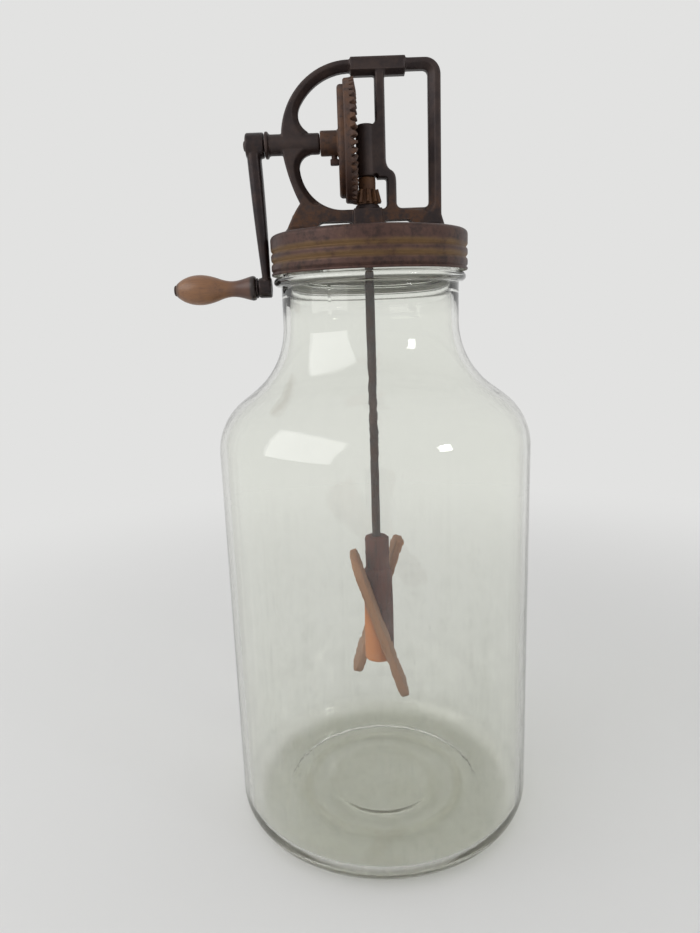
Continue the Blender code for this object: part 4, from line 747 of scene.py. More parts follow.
def glass_finish(colours, jar):
    """Old clear glass: faint vertical streaks, fine scratches and a dried film low down, with painted
    highlights on the floor's rings and painted shade where the glass is seen edgewise.
    """
    finish = Finish("clear_glass")
    height = finish.axis("Z")
    streaks = finish.noise(7 * MM, 3, 0.5, finish.stretched((1, 1, 0.04)))
    ripple = finish.noise(34 * MM, 2, 0.4, finish.stretched((1, 1, 0.3)))
    scratches = finish.noise(0.9 * MM, 3, 0.7, finish.stretched((1, 1, 0.05))).above(0.63, 0.71)
    specks = finish.noise(1.6 * MM, 2, 0.8).above(0.70, 0.75)
    clouds = finish.noise(30 * MM, 6, 0.65)
    low = 1 - height.above(0.08, 0.30)
    drips = streaks.above(0.45, 0.7) * clouds.above(0.35, 0.65)
    film = (clouds.above(0.40, 0.75) * 0.05 + drips * 0.07) * (low * 0.9 + 0.1)
    film = film + (scratches * 0.2 + specks * 0.3) * (low * 0.8 + 0.12)
    flat_place = finish.stretched((1, 1, 0))
    away = finish.node("ShaderNodeVectorMath", {"operation": "LENGTH"}, {0: flat_place})
    radius = Value(finish, away.outputs["Value"])
    on_floor = 1 - height.above(jar.floor + 1 * MM, jar.floor + 4 * MM)
    # Painted highlight: the film is raised on the floor's two rings, which makes them pale.
    rings = radius.band(jar.mould_ring, 6 * MM) * 0.30 + radius.band(jar.mould_ring * 0.66, 5 * MM) * 0.12
    heel = 1 - height.above(jar.floor, jar.heel * 1.6)
    film = film + rings * on_floor * (clouds * 0.8 + 0.3) + heel * 0.08
    dried = finish.mix(heel * 0.8, tuple(colours.haze), tuple(colours.glass_heel_and_ring_highlight))
    normal = finish.bump(ripple * 0.7 + streaks * 0.3, 0.5 * MM, 0.4)
    # Painted shade: towards grazing view the glass colour is mixed to the edge grey.
    edge = finish.node("ShaderNodeLayerWeight", {}, {"Blend": 0.35}).outputs["Facing"]
    thick = Value(finish, edge).above(0.45, 1.0)
    clear = finish.shader(
        base_color=finish.mix(thick, tuple(colours.glass), tuple(colours.glass_edge_shade)),
        roughness=film * 0.2 + 0.012,
        ior=1.5,
        transmission_weight=1.0,
        normal=normal,
    )
    worn = finish.shader(base_color=dried, roughness=0.55, normal=normal)
    glass = finish.node("ShaderNodeMixShader", {}, {0: film, 1: clear, 2: worn}).outputs[0]
    lit = finish.node("ShaderNodeBsdfTransparent", {}, {"Color": tuple(colours.glass_shadow)})
    shadow = finish.node("ShaderNodeLightPath").outputs["Is Shadow Ray"]
    sockets = {0: shadow, 1: glass, 2: lit.outputs[0]}
    return finish.finished(finish.node("ShaderNodeMixShader", {}, sockets).outputs[0])


def tin_finish(colours, lid):
    """Rusted tin: purple-brown ridges, golden rust in the grooves, dark stains and pits."""
    finish = Finish("rusted_tin")
    height = finish.axis("Z")
    wander = (finish.noise(16 * MM, 4, 0.6) - 0.5) * (2.2 * MM)
    level = height + wander
    grooves = 0.0
    for place in (0.34, 0.59):
        grooves = level.band(lid.base + lid.height * place, 3.4 * MM) + grooves
    clouds = finish.noise(22 * MM, 6, 0.7)
    stains = finish.noise(7 * MM, 6, 0.75)
    pits = finish.noise(0.9 * MM, 3, 0.7)
    gold = grooves.maths("MINIMUM", grooves + clouds.above(0.55, 0.75) * 0.4, 1) * clouds.above(0.25, 0.5)
    colour = finish.mix(stains.above(0.42, 0.68), tuple(colours.tin), tuple(colours.tin_dark))
    colour = finish.mix(gold, colour, tuple(colours.tin_groove))
    colour = finish.mix(pits.above(0.62, 0.72) * 0.5, colour, tuple(colours.tin_dark))
    shader = finish.shader(
        base_color=colour,
        metallic=0.55,
        roughness=0.36 + stains * 0.2 + gold * 0.1,
        normal=finish.bump(pits * 0.6 + stains * 0.8, 0.25 * MM, 0.7),
    )
    return finish.finished(shader)


def iron_finish(name, base, worn, rust, low, high, gloss):
    """Cast iron: sandy skin, lighter worn edges and rust below a level."""
    finish = Finish(name)
    height = finish.axis("Z")
    clouds = finish.noise(14 * MM, 6, 0.65)
    patches = finish.noise(4 * MM, 5, 0.7)
    sand = finish.noise(0.8 * MM, 3, 0.65)
    edges = finish.worn_edges(0.505, 0.56)
    rusty = (1 - height.above(low, high)) * 0.8 + 0.12
    rusty = rusty * clouds.above(0.38, 0.62) * patches.above(0.3, 0.6)
    colour = finish.mix(clouds.above(0.35, 0.7) * 0.35 + edges * 0.5, tuple(base), tuple(worn))
    colour = finish.mix(rusty, colour, tuple(rust))
    colour = finish.mix(sand.above(0.58, 0.75) * 0.35, colour, tuple(base))
    shader = finish.shader(
        base_color=colour,
        metallic=0.5,
        roughness=gloss + sand * 0.16 + rusty * 0.15,
        normal=finish.bump(sand * 0.7 + patches * 0.6, 0.22 * MM, 0.75),
    )
    return finish.finished(shader)


def gear_finish(name, base, rust, dirt, gloss):
    """A gear casting: worn brown iron, orange rust and black dirt."""
    finish = Finish(name)
    clouds = finish.noise(9 * MM, 5, 0.6)
    patches = finish.noise(2.5 * MM, 5, 0.7)
    sand = finish.noise(0.6 * MM, 3, 0.65)
    colour = finish.mix(clouds.above(0.35, 0.65), tuple(base), tuple(rust))
    colour = finish.mix(patches.above(0.5, 0.7) * 0.6, colour, tuple(dirt))
    shader = finish.shader(
        base_color=colour,
        metallic=0.25,
        roughness=gloss + sand * 0.2,
        normal=finish.bump(sand * 0.7 + patches * 0.7, 0.18 * MM, 0.7),
    )
    return finish.finished(shader)


def steel_finish(colours):
    """An old iron rod: dark skin, brown rust and fine marks across it."""
    finish = Finish("dark_steel")
    clouds = finish.noise(11 * MM, 6, 0.7)
    patches = finish.noise(2.2 * MM, 5, 0.75)
    marks = finish.noise(1.2 * MM, 3, 0.6, finish.stretched((0.3, 0.3, 2.0)))
    colour = finish.mix(clouds.above(0.35, 0.65), tuple(colours.steel), tuple(colours.steel_rust))
    colour = finish.mix(patches.above(0.52, 0.7) * 0.6, colour, tuple(colours.grease_and_shade))
    shader = finish.shader(
        base_color=colour,
        metallic=0.45,
        roughness=0.48 + patches * 0.22,
        normal=finish.bump(marks * 0.5 + patches * 0.6, 0.2 * MM, 0.7),
    )
    return finish.finished(shader)


def grip_finish(colours, near, far):
    """Handled wood: a tan bulb worn bare, old dark varnish on the neck, and painted shade on the flared rim
    and the riveted tip.
    """
    finish = Finish("grip_wood")
    along = finish.axis("X")
    grain = finish.noise(1.1 * MM, 5, 0.6, finish.stretched((0.06, 1, 1)))
    clouds = finish.noise(9 * MM, 5, 0.6)
    span = near - far
    neck = (along + (clouds - 0.5) * (9 * MM)).above(near - 0.46 * span, near - 0.16 * span)
    # Painted shade: dark bands at the flared rim and at the far tip.
    rim = along.above(near - 0.09 * span, near - 0.05 * span)
    tip = 1 - along.above(far + 0.01 * span, far + 0.06 * span)
    dark = grain.above(0.45, 0.75) * 0.4 + clouds.above(0.45, 0.75) * 0.35
    colour = finish.mix(dark, tuple(colours.grip), tuple(colours.grip_dark))
    colour = finish.mix(neck * 0.85, colour, tuple(colours.grip_dark))
    colour = finish.mix(rim.maths("MAXIMUM", rim, tip * 0.7) * 0.9, colour, tuple(colours.grease_and_shade))
    shader = finish.shader(
        base_color=colour,
        roughness=0.34 + grain * 0.14,
        coat_weight=0.2,
        coat_roughness=0.25,
        normal=finish.bump(grain, 0.12 * MM, 0.5),
    )
    return finish.finished(shader)


def hub_finish(colours, dasher):
    """Turned wood in lit and shaded copies of one wood: dark maroon painted shade, with orange painted
    window light low on the left.
    """
    finish = Finish("hub_wood")
    grain = finish.noise(1.6 * MM, 5, 0.65, finish.stretched((1, 1, 0.07)))
    clouds = finish.noise(12 * MM, 5, 0.6)
    height = finish.axis("Z")
    side = finish.axis("X")
    # Painted window light: the lower left of the hub is mixed towards the lit wood colour, and the rest
    # keeps the painted shade.
    low = 1 - (height + side * 2.6 + (clouds - 0.5) * (12 * MM)).above(0.128, 0.152)
    colour = finish.mix(grain.above(0.4, 0.7) * 0.7, tuple(colours.hub), tuple(colours.grease_and_shade))
    colour = finish.mix(clouds.above(0.5, 0.75) * 0.3, colour, tuple(colours.blade_dark))
    colour = finish.mix(low * 0.9, colour, tuple(colours.hub_lit_side))
    shader = finish.shader(
        base_color=colour,
        roughness=0.62 + grain * 0.15,
        normal=finish.bump(grain + clouds * 0.3, 0.3 * MM, 0.6),
    )
    return finish.finished(shader)


def blade_finish(name, colours, tilt):
    """Weathered planks: pale wood with dark grain along the blade."""
    finish = Finish(name)
    turned_place = finish.node(
        "ShaderNodeMapping", {}, {"Vector": finish.place, "Rotation": (0, tilt, 0)}
    ).outputs[0]
    stretched = finish.node(
        "ShaderNodeMapping", {}, {"Vector": turned_place, "Scale": (1, 1, 0.06)}
    ).outputs[0]
    grain = finish.noise(1.5 * MM, 5, 0.65, stretched)
    bands = finish.noise(5 * MM, 3, 0.5, stretched)
    clouds = finish.noise(20 * MM, 4, 0.55)
    dark = grain.above(0.45, 0.72) * 0.55 + bands.above(0.5, 0.7) * 0.45
    shade_share = dark * (clouds.above(0.3, 0.6) * 0.6 + 0.4)
    colour = finish.mix(shade_share, tuple(colours.blade), tuple(colours.blade_dark))
    shader = finish.shader(
        base_color=colour,
        roughness=0.66 + grain * 0.12,
        normal=finish.bump(grain + bands * 0.5, 0.3 * MM, 0.6),
    )
    return finish.finished(shader)


def lid_inside_finish(colours):
    """The lid's inside, pale, with a few brown stains."""
    finish = Finish("lid_inside")
    clouds = finish.noise(12 * MM, 5, 0.6)
    marks = finish.noise(2 * MM, 4, 0.6)
    stains = clouds.above(0.52, 0.72) * 0.3
    colour = finish.mix(stains, tuple(colours.lid_inside), tuple(colours.tin_groove))
    shader = finish.shader(
        base_color=colour,
        roughness=0.5 + marks * 0.2,
        normal=finish.bump(marks, 0.1 * MM, 0.5),
    )
    return finish.finished(shader)


def cork_finish(colours):
    finish = Finish("cork")
    cells = finish.cells(1.8 * MM)
    clouds = finish.noise(6 * MM, 4, 0.6)
    colour = finish.mix(clouds, tuple(colours.cork), tuple(colours.blade_dark))
    shader = finish.shader(
        base_color=colour, roughness=0.85 + clouds * 0.1, normal=finish.bump(cells, 0.2 * MM, 0.6)
    )
    return finish.finished(shader)


# Outlines


def shoulder_arcs(jar, neck_bottom, offset, steps):
    """The jar's shoulder and the sweep into its neck, moved inwards by an offset."""
    step = jar.radius - jar.neck_radius
    shoulder = jar.shoulder * step
    sweep = jar.sweep * step
    slope = (step - (shoulder + sweep) * (1 - math.cos(jar.slope))) / math.sin(jar.slope)
    rise = (shoulder + sweep) * math.sin(jar.slope) + slope * math.cos(jar.slope)
    start = neck_bottom - rise
    lower = arc(jar.radius - shoulder, start, shoulder - offset, 0, jar.slope, steps)
    upper_x = jar.neck_radius + sweep
    upper = arc(upper_x, neck_bottom, sweep + offset, math.pi + jar.slope, math.pi, steps)
    return lower + upper


def jar_outline(jar):
    """The jar's section, from the middle of its underside round its outside and back inside."""
    foot_outer = jar.radius - jar.heel
    foot_inner = foot_outer - jar.foot_ring
    finish = jar.neck_radius + jar.finish_step
    bead_top = jar.height - jar.finish_height
    bead_low = bead_top - jar.bead_height
    neck_bottom = bead_low - jar.neck_length
    under = [(0, 0), (jar.centre_pad * 0.6, 0)]
    under += curve_through((jar.centre_pad, 0), (jar.centre_pad * 1.3, 0), (foot_inner * 0.5, jar.punt), 6)
    under += curve_through((foot_inner * 0.88, jar.punt), (foot_inner * 0.97, jar.punt), (foot_inner, 0), 6)
    heel = arc(foot_outer, jar.heel, jar.heel, -QUARTER, 0, 14)
    bead = jar.bead_height / 2
    ring = arc(finish + jar.bead_step - bead, bead_low + bead, bead, -QUARTER * 0.95, QUARTER, 10)
    seat = [(jar.neck_radius, bead_low - 0.6 * MM), (jar.neck_radius + 0.4 * MM, bead_low)]
    seat += [*ring, (finish, bead_top)]
    lip_z = jar.height - jar.lip
    mouth = jar.neck_radius - jar.wall
    lip = arc(finish - jar.lip, lip_z, jar.lip, 0, QUARTER, 5)
    lip += arc(mouth + jar.lip, lip_z, jar.lip, QUARTER, math.pi, 5)
    inside = list(reversed(shoulder_arcs(jar, neck_bottom, jar.wall, 14)))
    inner = jar.heel - jar.wall
    inner_heel = arc(foot_outer, jar.floor + inner, inner, 0, -QUARTER, 12)
    outside = under + heel + shoulder_arcs(jar, neck_bottom, 0, 14) + seat
    return outside + lip + inside + inner_heel + jar_floor(jar)


def jar_floor(jar):
    """The inside of the floor, from its rim to its middle, with two low rings from the mould."""
    points = []
    for radius in (jar.mould_ring, jar.mould_ring * 0.66):
        for step, rise in ((1, 0), (0.5, 0.6), (0, 0.8), (-0.5, 0.6), (-1, 0.1)):
            points.append((radius + step * jar.ring_width, jar.floor + rise * jar.ring_rise))
    return points + [(jar.mould_ring * 0.2, jar.floor + 0.3 * MM), (0, jar.floor + 0.4 * MM)]


def jar_thread(jar):
    """A rounded ridge that climbs round the jar's mouth and fades out at both ends."""
    turns, steps = 1.3, 104
    finish = jar.neck_radius + jar.finish_step
    rise = jar.thread_lead * turns
    start = jar.height - (jar.finish_height + rise) / 2
    half = jar.thread_width / 2
    root = finish - 1 * MM
    sections = []
    for step in range(steps + 1):
        angle = math.tau * turns * step / steps
        fade = min(1, step / 14, (steps - step) / 14)
        crest = finish - GAP + (jar.thread + GAP) * math.sin(QUARTER * fade)
        knee = root + (crest - root) * 0.7
        profile = ((root, -half), (knee, -half * 0.7), (crest, -half * 0.3))
        profile += tuple((radius, -z) for radius, z in reversed(profile))
        height = start + rise * step / steps
        sections.append([(r * math.cos(angle), r * math.sin(angle), height + z) for r, z in profile])
    return coiled_piece("jar_thread", sections)


def lid_outline(lid):
    """The tin's section from its curled lower edge up, in metres above the ground."""
    knots = [(0.02, 0), (0.05, 0.05), (0.085, 0.7), (0.13, 0.1), (0.16, 0), (0.23, 0), (0.27, 0.25)]
    knots += [(0.32, 1), (0.37, 0.25), (0.41, 0), (0.48, 0), (0.52, 0.25), (0.57, 1), (0.62, 0.25)]
    knots += [(0.66, 0), (0.72, 0)]
    smooth = smooth_profile(knots, 3)
    skirt = [(lid.radius - max(0, d) * lid.groove, lid.base + s * lid.height) for s, d in smooth]
    x = lid.radius - lid.corner
    z = lid.base + lid.height - lid.corner
    top = lid.base + lid.height
    outer = [(lid.radius - 0.3 * MM, lid.base)] + skirt + arc(x, z, lid.corner, 0, QUARTER, 8)
    outer += [(lid.hole, top), (lid.hole, top - lid.sheet)]
    inner = arc(x, z, lid.corner - lid.sheet, QUARTER, 0, 8)
    inner += [(radius - lid.sheet, place) for radius, place in reversed(skirt)]
    return outer + inner + [(lid.radius - lid.sheet, lid.base)]


def toe_places(f):
    left = -(f.arc_offset + f.arc)
    return left + f.waist_inset - f.left_toe, f.reach + f.right_toe


def frame_outline(f):
    """The frame's outer edge seen from the front, above its feet."""
    arc_z = f.height - f.arc
    left = -(f.arc_offset + f.arc)
    waist = (left + f.waist_inset, f.waist)
    left_toe, right_toe = toe_places(f)
    base = f.foot_height / 2
    right_side = [(right_toe - f.edge_round, base), (f.reach, f.rail_rise + f.rail / 3)]
    corner_x = f.reach - f.outer_corner
    corner = arc(corner_x, f.height - f.outer_corner, f.outer_corner, 0, QUARTER, 14)
    sweep = arc(-f.arc_offset, arc_z, f.arc, QUARTER, math.pi, 40)
    limb_top = (left, f.shaft - f.bearing / 2)
    limb = curve_through(limb_top, (waist[0] - f.bulge, f.waist + f.bulge_height), waist, 16)
    instep = (waist[0] - 0.46 * f.left_toe, f.rail_rise + 0.75 * f.rail)
    foot = curve_through(waist, instep, (left_toe + f.edge_round, base), 12)
    return right_side + corner + sweep + limb + foot[1:]


def arched_edge(f, inner, arc_z):
    """The left opening's upper side: under the arch, round the fillet and on below the shaft."""
    turn_at = math.radians(150)
    x = -f.arc_offset + (inner - f.upper_fillet) * math.cos(turn_at)
    z = arc_z + (inner - f.upper_fillet) * math.sin(turn_at)
    lower_x = -(f.arc_offset + f.arc) + f.limb + f.lower_fillet
    lower_z = f.shaft - f.bearing - f.lower_fillet
    edge = arc(-f.arc_offset, arc_z, inner, QUARTER, turn_at, 24)
    edge += arc(x, z, f.upper_fillet, turn_at, math.radians(240), 14)[1:]
    return edge + arc(lower_x, lower_z, f.lower_fillet, math.radians(100), math.pi, 12)


def web_edge(f, sleeve, low_left, strut_left):
    """The left opening's right side: up the low strut, under the web and round the boss."""
    boss_low = f.shaft - f.boss_below
    web_low = boss_low - f.web_drop
    beside = boss_low + f.edge_round / 2
    above = f.shaft + f.boss_above - f.edge_round / 2
    side = sleeve + f.web_gap
    r = f.edge_round
    edge = arc(low_left - r, web_low - r, r, 0, QUARTER, 3)
    edge += [(side, web_low), (side, beside), (-f.boss / 2, beside), (-f.boss / 2, above)]
    fillet = f.boss_fillet
    return edge + arc(strut_left - fillet, above + fillet, fillet, -QUARTER, 0, 8)


def left_window(f, sleeve):
    """The opening that the large gear turns in, with the slope's width at each point."""
    inner = f.arc - f.bar
    arc_z = f.height - f.top_bar - inner
    rail_top = f.rail_rise + f.rail
    strut_left = f.boss - f.overlap
    low_left = strut_left + f.jog
    lower_z = f.shaft - f.bearing - f.lower_fillet
    sweep_z = rail_top + f.lower_sweep
    sweep_start = math.pi + math.asin(max(0, sweep_z - lower_z) / f.lower_sweep)
    sweep_x = -(f.arc_offset + f.arc) + f.limb + f.lower_sweep
    sweep_turn = math.radians(235)
    sloped = arched_edge(f, inner, arc_z)
    sloped += arc(sweep_x, sweep_z, f.lower_sweep, sweep_start, sweep_turn, 12)[1:]
    plain = arc(sweep_x, sweep_z, f.lower_sweep, sweep_turn, 3 * QUARTER, 10)[1:]
    corner = f.window_fillet
    plain += arc(low_left - corner, rail_top + corner, corner, -QUARTER, 0, 6)
    plain += web_edge(f, sleeve, low_left, strut_left) + [(strut_left, arc_z + inner)]
    widths = [f.bevel] * (len(sloped) - 1) + [f.strut_bevel] * len(plain) + [f.bevel]
    return sloped + plain, widths


def right_window(f):
    """The tall opening right of the strut, with the slope's width at each point."""
    rail_top = f.rail_rise + f.rail
    top = f.height - f.top_bar
    right = f.reach - f.right_bar
    strut_right = f.boss - f.overlap + f.strut
    low_left = strut_right + f.jog
    r = f.inner_corner
    sloped = arc(right - r, rail_top + r, r, -QUARTER, 0, 6)
    sloped += arc(right - r, top - r, r, 0, QUARTER, 6)
    plain = arc(strut_right + r, top - r, r, QUARTER, math.pi, 6)
    middle = ((strut_right + low_left) / 2, f.jog_low + f.jog_height / 2)
    jog_top = (strut_right, f.jog_low + f.jog_height)
    plain += curve_through(jog_top, (strut_right, middle[1] + f.jog / 4), middle, 8)
    plain += curve_through(middle, (low_left, middle[1] - f.jog / 4), (low_left, f.jog_low), 8)[1:]
    plain += arc(low_left + r, rail_top + r, r, math.pi, 3 * QUARTER, 6)
    widths = [f.bevel] * len(sloped) + [f.strut_bevel] * len(plain)
    return sloped + plain, widths


# Pieces


def set_depth(outline, base, y):
    return [(x, y, base + z) for x, z in outline]


def window_cutter(f, name, window):
    """A cutter that leaves a slope from the rib down to the opening's edge."""
    outline, widths = window
    wide = pushed_out(outline, widths)
    outer = f.depth / 2
    edge = f.edge_depth / 2
    over = 2 * MM
    places = ((-outer - over, wide), (-outer, wide), (-edge, outline), (edge, outline))
    places += ((outer, wide), (outer + over, wide))
    return lofted_piece(name, [set_depth(points, f.base, y) for y, points in places], 1)


def frame_plate(f):
    """The flat casting: its outline drawn, filled, extruded and rounded along both edges."""
    made = start_piece("frame_casting_looks")
    half = f.depth / 2
    draw_line(set_depth(frame_outline(f), f.base, -half), True)
    bpy.ops.mesh.select_all(action="SELECT")
    bpy.ops.mesh.edge_face_add()
    bpy.ops.mesh.extrude_region_move(TRANSFORM_OT_translate={"value": (0, f.depth, 0)})
    for level in (-half, half):
        select_edges(lambda edge: all(abs(v.co.y - level) < WELD for v in edge.verts))
        bpy.ops.mesh.bevel(offset=f.edge_round, segments=3, profile=0.5, affect="EDGES")
    tidy_surface()
    return made


def foot_block(f, name, toe, direction):
    """A broad foot drawn in towards the bar that it carries."""
    span = f.foot_length * direction
    bar = f.depth / 2 - 2 * f.edge_round
    corners = 40
    squareness = 4

    def ring(start, end, half, z):
        middle, reach = (start + end) / 2, (end - start) / 2
        points = []
        for index in range(corners):
            a = math.tau * (index + 0.5) / corners
            bulge = abs(math.cos(a)) ** squareness + abs(math.sin(a)) ** squareness
            bulge = 1 / bulge ** (1 / squareness)
            x = middle + reach * bulge * math.cos(a)
            points.append((x, half * bulge * math.sin(a), f.base + z))
        return points

    half = f.foot_width / 2
    inset = f.edge_round * direction
    low = ring(toe, toe + span, half, 0)
    rim = ring(toe, toe + span, half, f.foot_height - f.edge_round)
    ledge = ring(toe + inset, toe + span - inset, half - f.edge_round, f.foot_height)
    waist = ring(toe + span / 5, toe + span - span / 5, bar + 1.5 * MM, f.foot_height + f.foot_crown / 3)
    crown = ring(toe + span / 3, toe + span - span / 3, bar, f.foot_height + f.foot_crown)
    return lofted_piece(name, [low, rim, ledge, waist, crown], 2)


def arch_cutters(f):
    """The two low gaps under the rail, on either side of the middle block."""
    half = f.block_length / 2
    left_toe, right_toe = toe_places(f)
    r = f.rail_rise / 2
    cutters = []
    spans = ((left_toe + f.foot_length + r, -half), (half, right_toe - f.foot_length - r))
    for number, (start, end) in enumerate(spans):
        outline = [(start, -2 * MM), (end, -2 * MM)]
        outline += arc(end - r, f.rail_rise - r, r, 0, QUARTER, 8)
        outline += arc(start + r, f.rail_rise - r, r, QUARTER, math.pi, 8)
        reach = f.foot_width
        sections = [set_depth(outline, f.base, y) for y in (-reach, reach)]
        cutters.append(lofted_piece(f"rail_gap_{number}", sections, 1))
    return cutters


def frame_bosses(f):
    """Bearing with its flange, middle boss, plate, block, pad, sleeve and feet."""
    shaft = f.base + f.shaft
    flange = -f.flange_reach
    r = 0.7 * MM
    bearing = [(0, flange), *arc_turned(f.flange - r, flange + r, r, -QUARTER, 0)]
    bearing += arc_turned(f.flange - r, flange + f.flange_thickness - r, r, 0, QUARTER)
    bearing += [(f.bearing, flange + f.flange_thickness + r), (f.bearing, -f.bearing_reach - r)]
    bearing += [(f.bearing - r, -f.bearing_reach), (0, -f.bearing_reach)]
    low, high = shaft - f.boss_below, shaft + f.boss_above
    dome = f.boss / 3
    boss = [(0, low), (f.boss - r, low), (f.boss, low + r)]
    boss += arc(f.boss - dome, high - dome, dome, 0, QUARTER, 8) + [(0, high)]
    rail_top = f.base + f.rail_rise + f.rail
    pad = [(0, rail_top - f.rail / 2), (f.pad, rail_top - f.rail / 2), (f.pad, rail_top + 1 * MM)]
    pad += [(f.pad - 1 * MM, f.base + f.pad_top), (0, f.base + f.pad_top)]
    sleeve = [(0, f.base - f.sleeve_drop), (f.sleeve, f.base - f.sleeve_drop)]
    sleeve += [(f.sleeve, f.base + f.rail_rise), (0, f.base + f.rail_rise)]
    block_half, block_depth = f.block_length / 2, f.block_depth / 2
    left_toe, right_toe = toe_places(f)
    return [
        turned_piece("bearing_tube", bearing, "X", (0, 0, shaft), 64),
        turned_piece("middle_boss", boss, steps=64),
        turned_piece("pivot_pad", pad, steps=64),
        turned_piece("lid_sleeve", sleeve, steps=48),
        name_plate(f),
        block_piece(
            "rail_block", (-block_half, -block_depth, f.base), (block_half, block_depth, rail_top), 0.6 * MM
        ),
        foot_block(f, "left_foot", left_toe, 1),
        foot_block(f, "right_foot", right_toe, -1),
    ]


def arc_turned(radius, along, rounding, start, end):
    """A rounded edge of a piece turned about X, as (radius, along) points."""
    return [(r, x) for r, x in arc(radius, along, rounding, start, end, 4)]


def name_plate(f):
    """The thickened, bare part of the top bar: drawn in below, with a shallow sunk panel."""
    high = f.base + f.height + f.plate_proud
    low = high - f.plate_height
    half, edge = f.plate_depth / 2, f.edge_depth / 2
    r = f.edge_round
    upper = [(half, low + f.plate_taper), (half, high - r)]
    upper += [(half - r + y, z) for y, z in arc(0, high - r, r, 0, QUARTER, 4)[1:]]
    section = [(edge, low)] + upper + [(-y, z) for y, z in reversed(upper)] + [(-edge, low)]
    start = f.plate_offset - f.plate_length / 2
    ends = [[(x, y, z) for y, z in section] for x in (start, start + f.plate_length)]
    made = lofted_piece("bar_plate", ends, 0)
    bpy.ops.object.mode_set(mode="EDIT")
    select_points(lambda place: place.y < -half + WELD)
    bpy.ops.mesh.inset(thickness=0.5 * MM, depth=0)
    bpy.ops.mesh.inset(thickness=0.4 * MM, depth=-0.45 * MM)
    tidy_surface()
    return made


def model_frame(f, crank, dasher, sleeve):
    plate = frame_plate(f)
    windows = (("left_opening", left_window(f, sleeve)), ("right_opening", right_window(f)))
    for name, window in windows:
        boolean(plate, window_cutter(f, name, window), "DIFFERENCE", "EXACT")
    join_pieces(plate, frame_bosses(f))
    cast_surface(plate, f.grain, 4)
    for cutter in arch_cutters(f):
        boolean(plate, cutter, "DIFFERENCE")
    shaft = f.base + f.shaft
    over = 3 * MM
    bore = crank.shaft + GAP
    left, right = -f.flange_reach - over, -f.bearing_reach + over
    hole = [(0, left), (bore, left), (bore, right), (0, right)]
    boolean(plate, turned_piece("shaft_hole", hole, "X", (0, 0, shaft), 48), "DIFFERENCE")
    bore = dasher.rod + GAP
    low, high = f.base - f.sleeve_drop - over, dasher.rod_top + GAP
    hole = [(0, low), (bore, low), (bore, high), (0, high)]
    boolean(plate, turned_piece("rod_hole", hole, steps=48), "DIFFERENCE")
    shade(plate, 50)
    return plate


def model_wheel(g, crank, shaft_z):
    """The large gear: a turned blank and one tooth copied round it."""
    pitch = g.module * g.wheel_teeth / 2
    small_pitch = g.module * g.pinion_teeth / 2
    distance = math.hypot(pitch, small_pitch)
    cone = math.atan2(g.wheel_teeth, g.pinion_teeth)
    root = cone - g.wheel_root * g.module / distance
    tip = cone + g.wheel_tip * g.module / distance
    back = -(small_pitch + g.rim_back + g.plate)
    rim_back = -(small_pitch + g.rim_back)
    rim = pitch - g.module / 2
    plate = pitch - g.plate_margin
    bore = crank.shaft + 0.3 * MM
    inner = distance - g.face
    web_edge = inner * math.sin(root) - g.module / 2
    web_front = -inner * math.cos(root) - g.web_recess
    blank = [(bore, web_front), (web_edge - g.module, web_front), (web_edge, web_front + g.module)]
    blank += [(inner * math.sin(root), -inner * math.cos(root))]
    blank += [(distance * math.sin(root), -distance * math.cos(root))]
    blank += [(rim, rim_back + g.module / 2), (rim - g.module / 2, rim_back), (plate, rim_back)]
    round_edge = arc(plate - g.plate_round, back + g.plate_round, g.plate_round, 0, -QUARTER, 6)
    blank += round_edge + [(g.hub + 1 * MM, back), (g.hub, back - 1 * MM)]
    hub_end = back - g.hub_length
    blank += [(g.hub, hub_end + 0.6 * MM), (g.hub - 0.6 * MM, hub_end), (bore, hub_end)]
    centre = (0, 0, shaft_z)
    wheel = turned_piece("wheel_looks", blank, "X", centre, g.wheel_teeth * 4)
    half = g.tooth * math.pi * g.module / 2
    teeth = toothed_ring(
        "wheel_teeth",
        bevel_tooth(g, distance, (root - 0.006, tip), cone, half, pitch),
        centre,
        "X",
        g.wheel_teeth,
        0.3 * MM,
    )
    join_pieces(wheel, [teeth])
    shade(wheel, 30)
    return wheel


def bevel_tooth(g, distance, cones, cone, half, pitch):
    """(outer, inner) four-cornered ends of one tooth, as (radius, along, angle) points."""
    ends = []
    for reach in (distance, distance - g.face):
        corners = []
        for side in (-1, 1):
            for place in cones if side < 0 else reversed(cones):
                width = half - (place - cone) * distance * math.tan(g.pressure)
                corners.append((reach * math.sin(place), -reach * math.cos(place), side * width / pitch))
        ends.append(corners)
    return ends


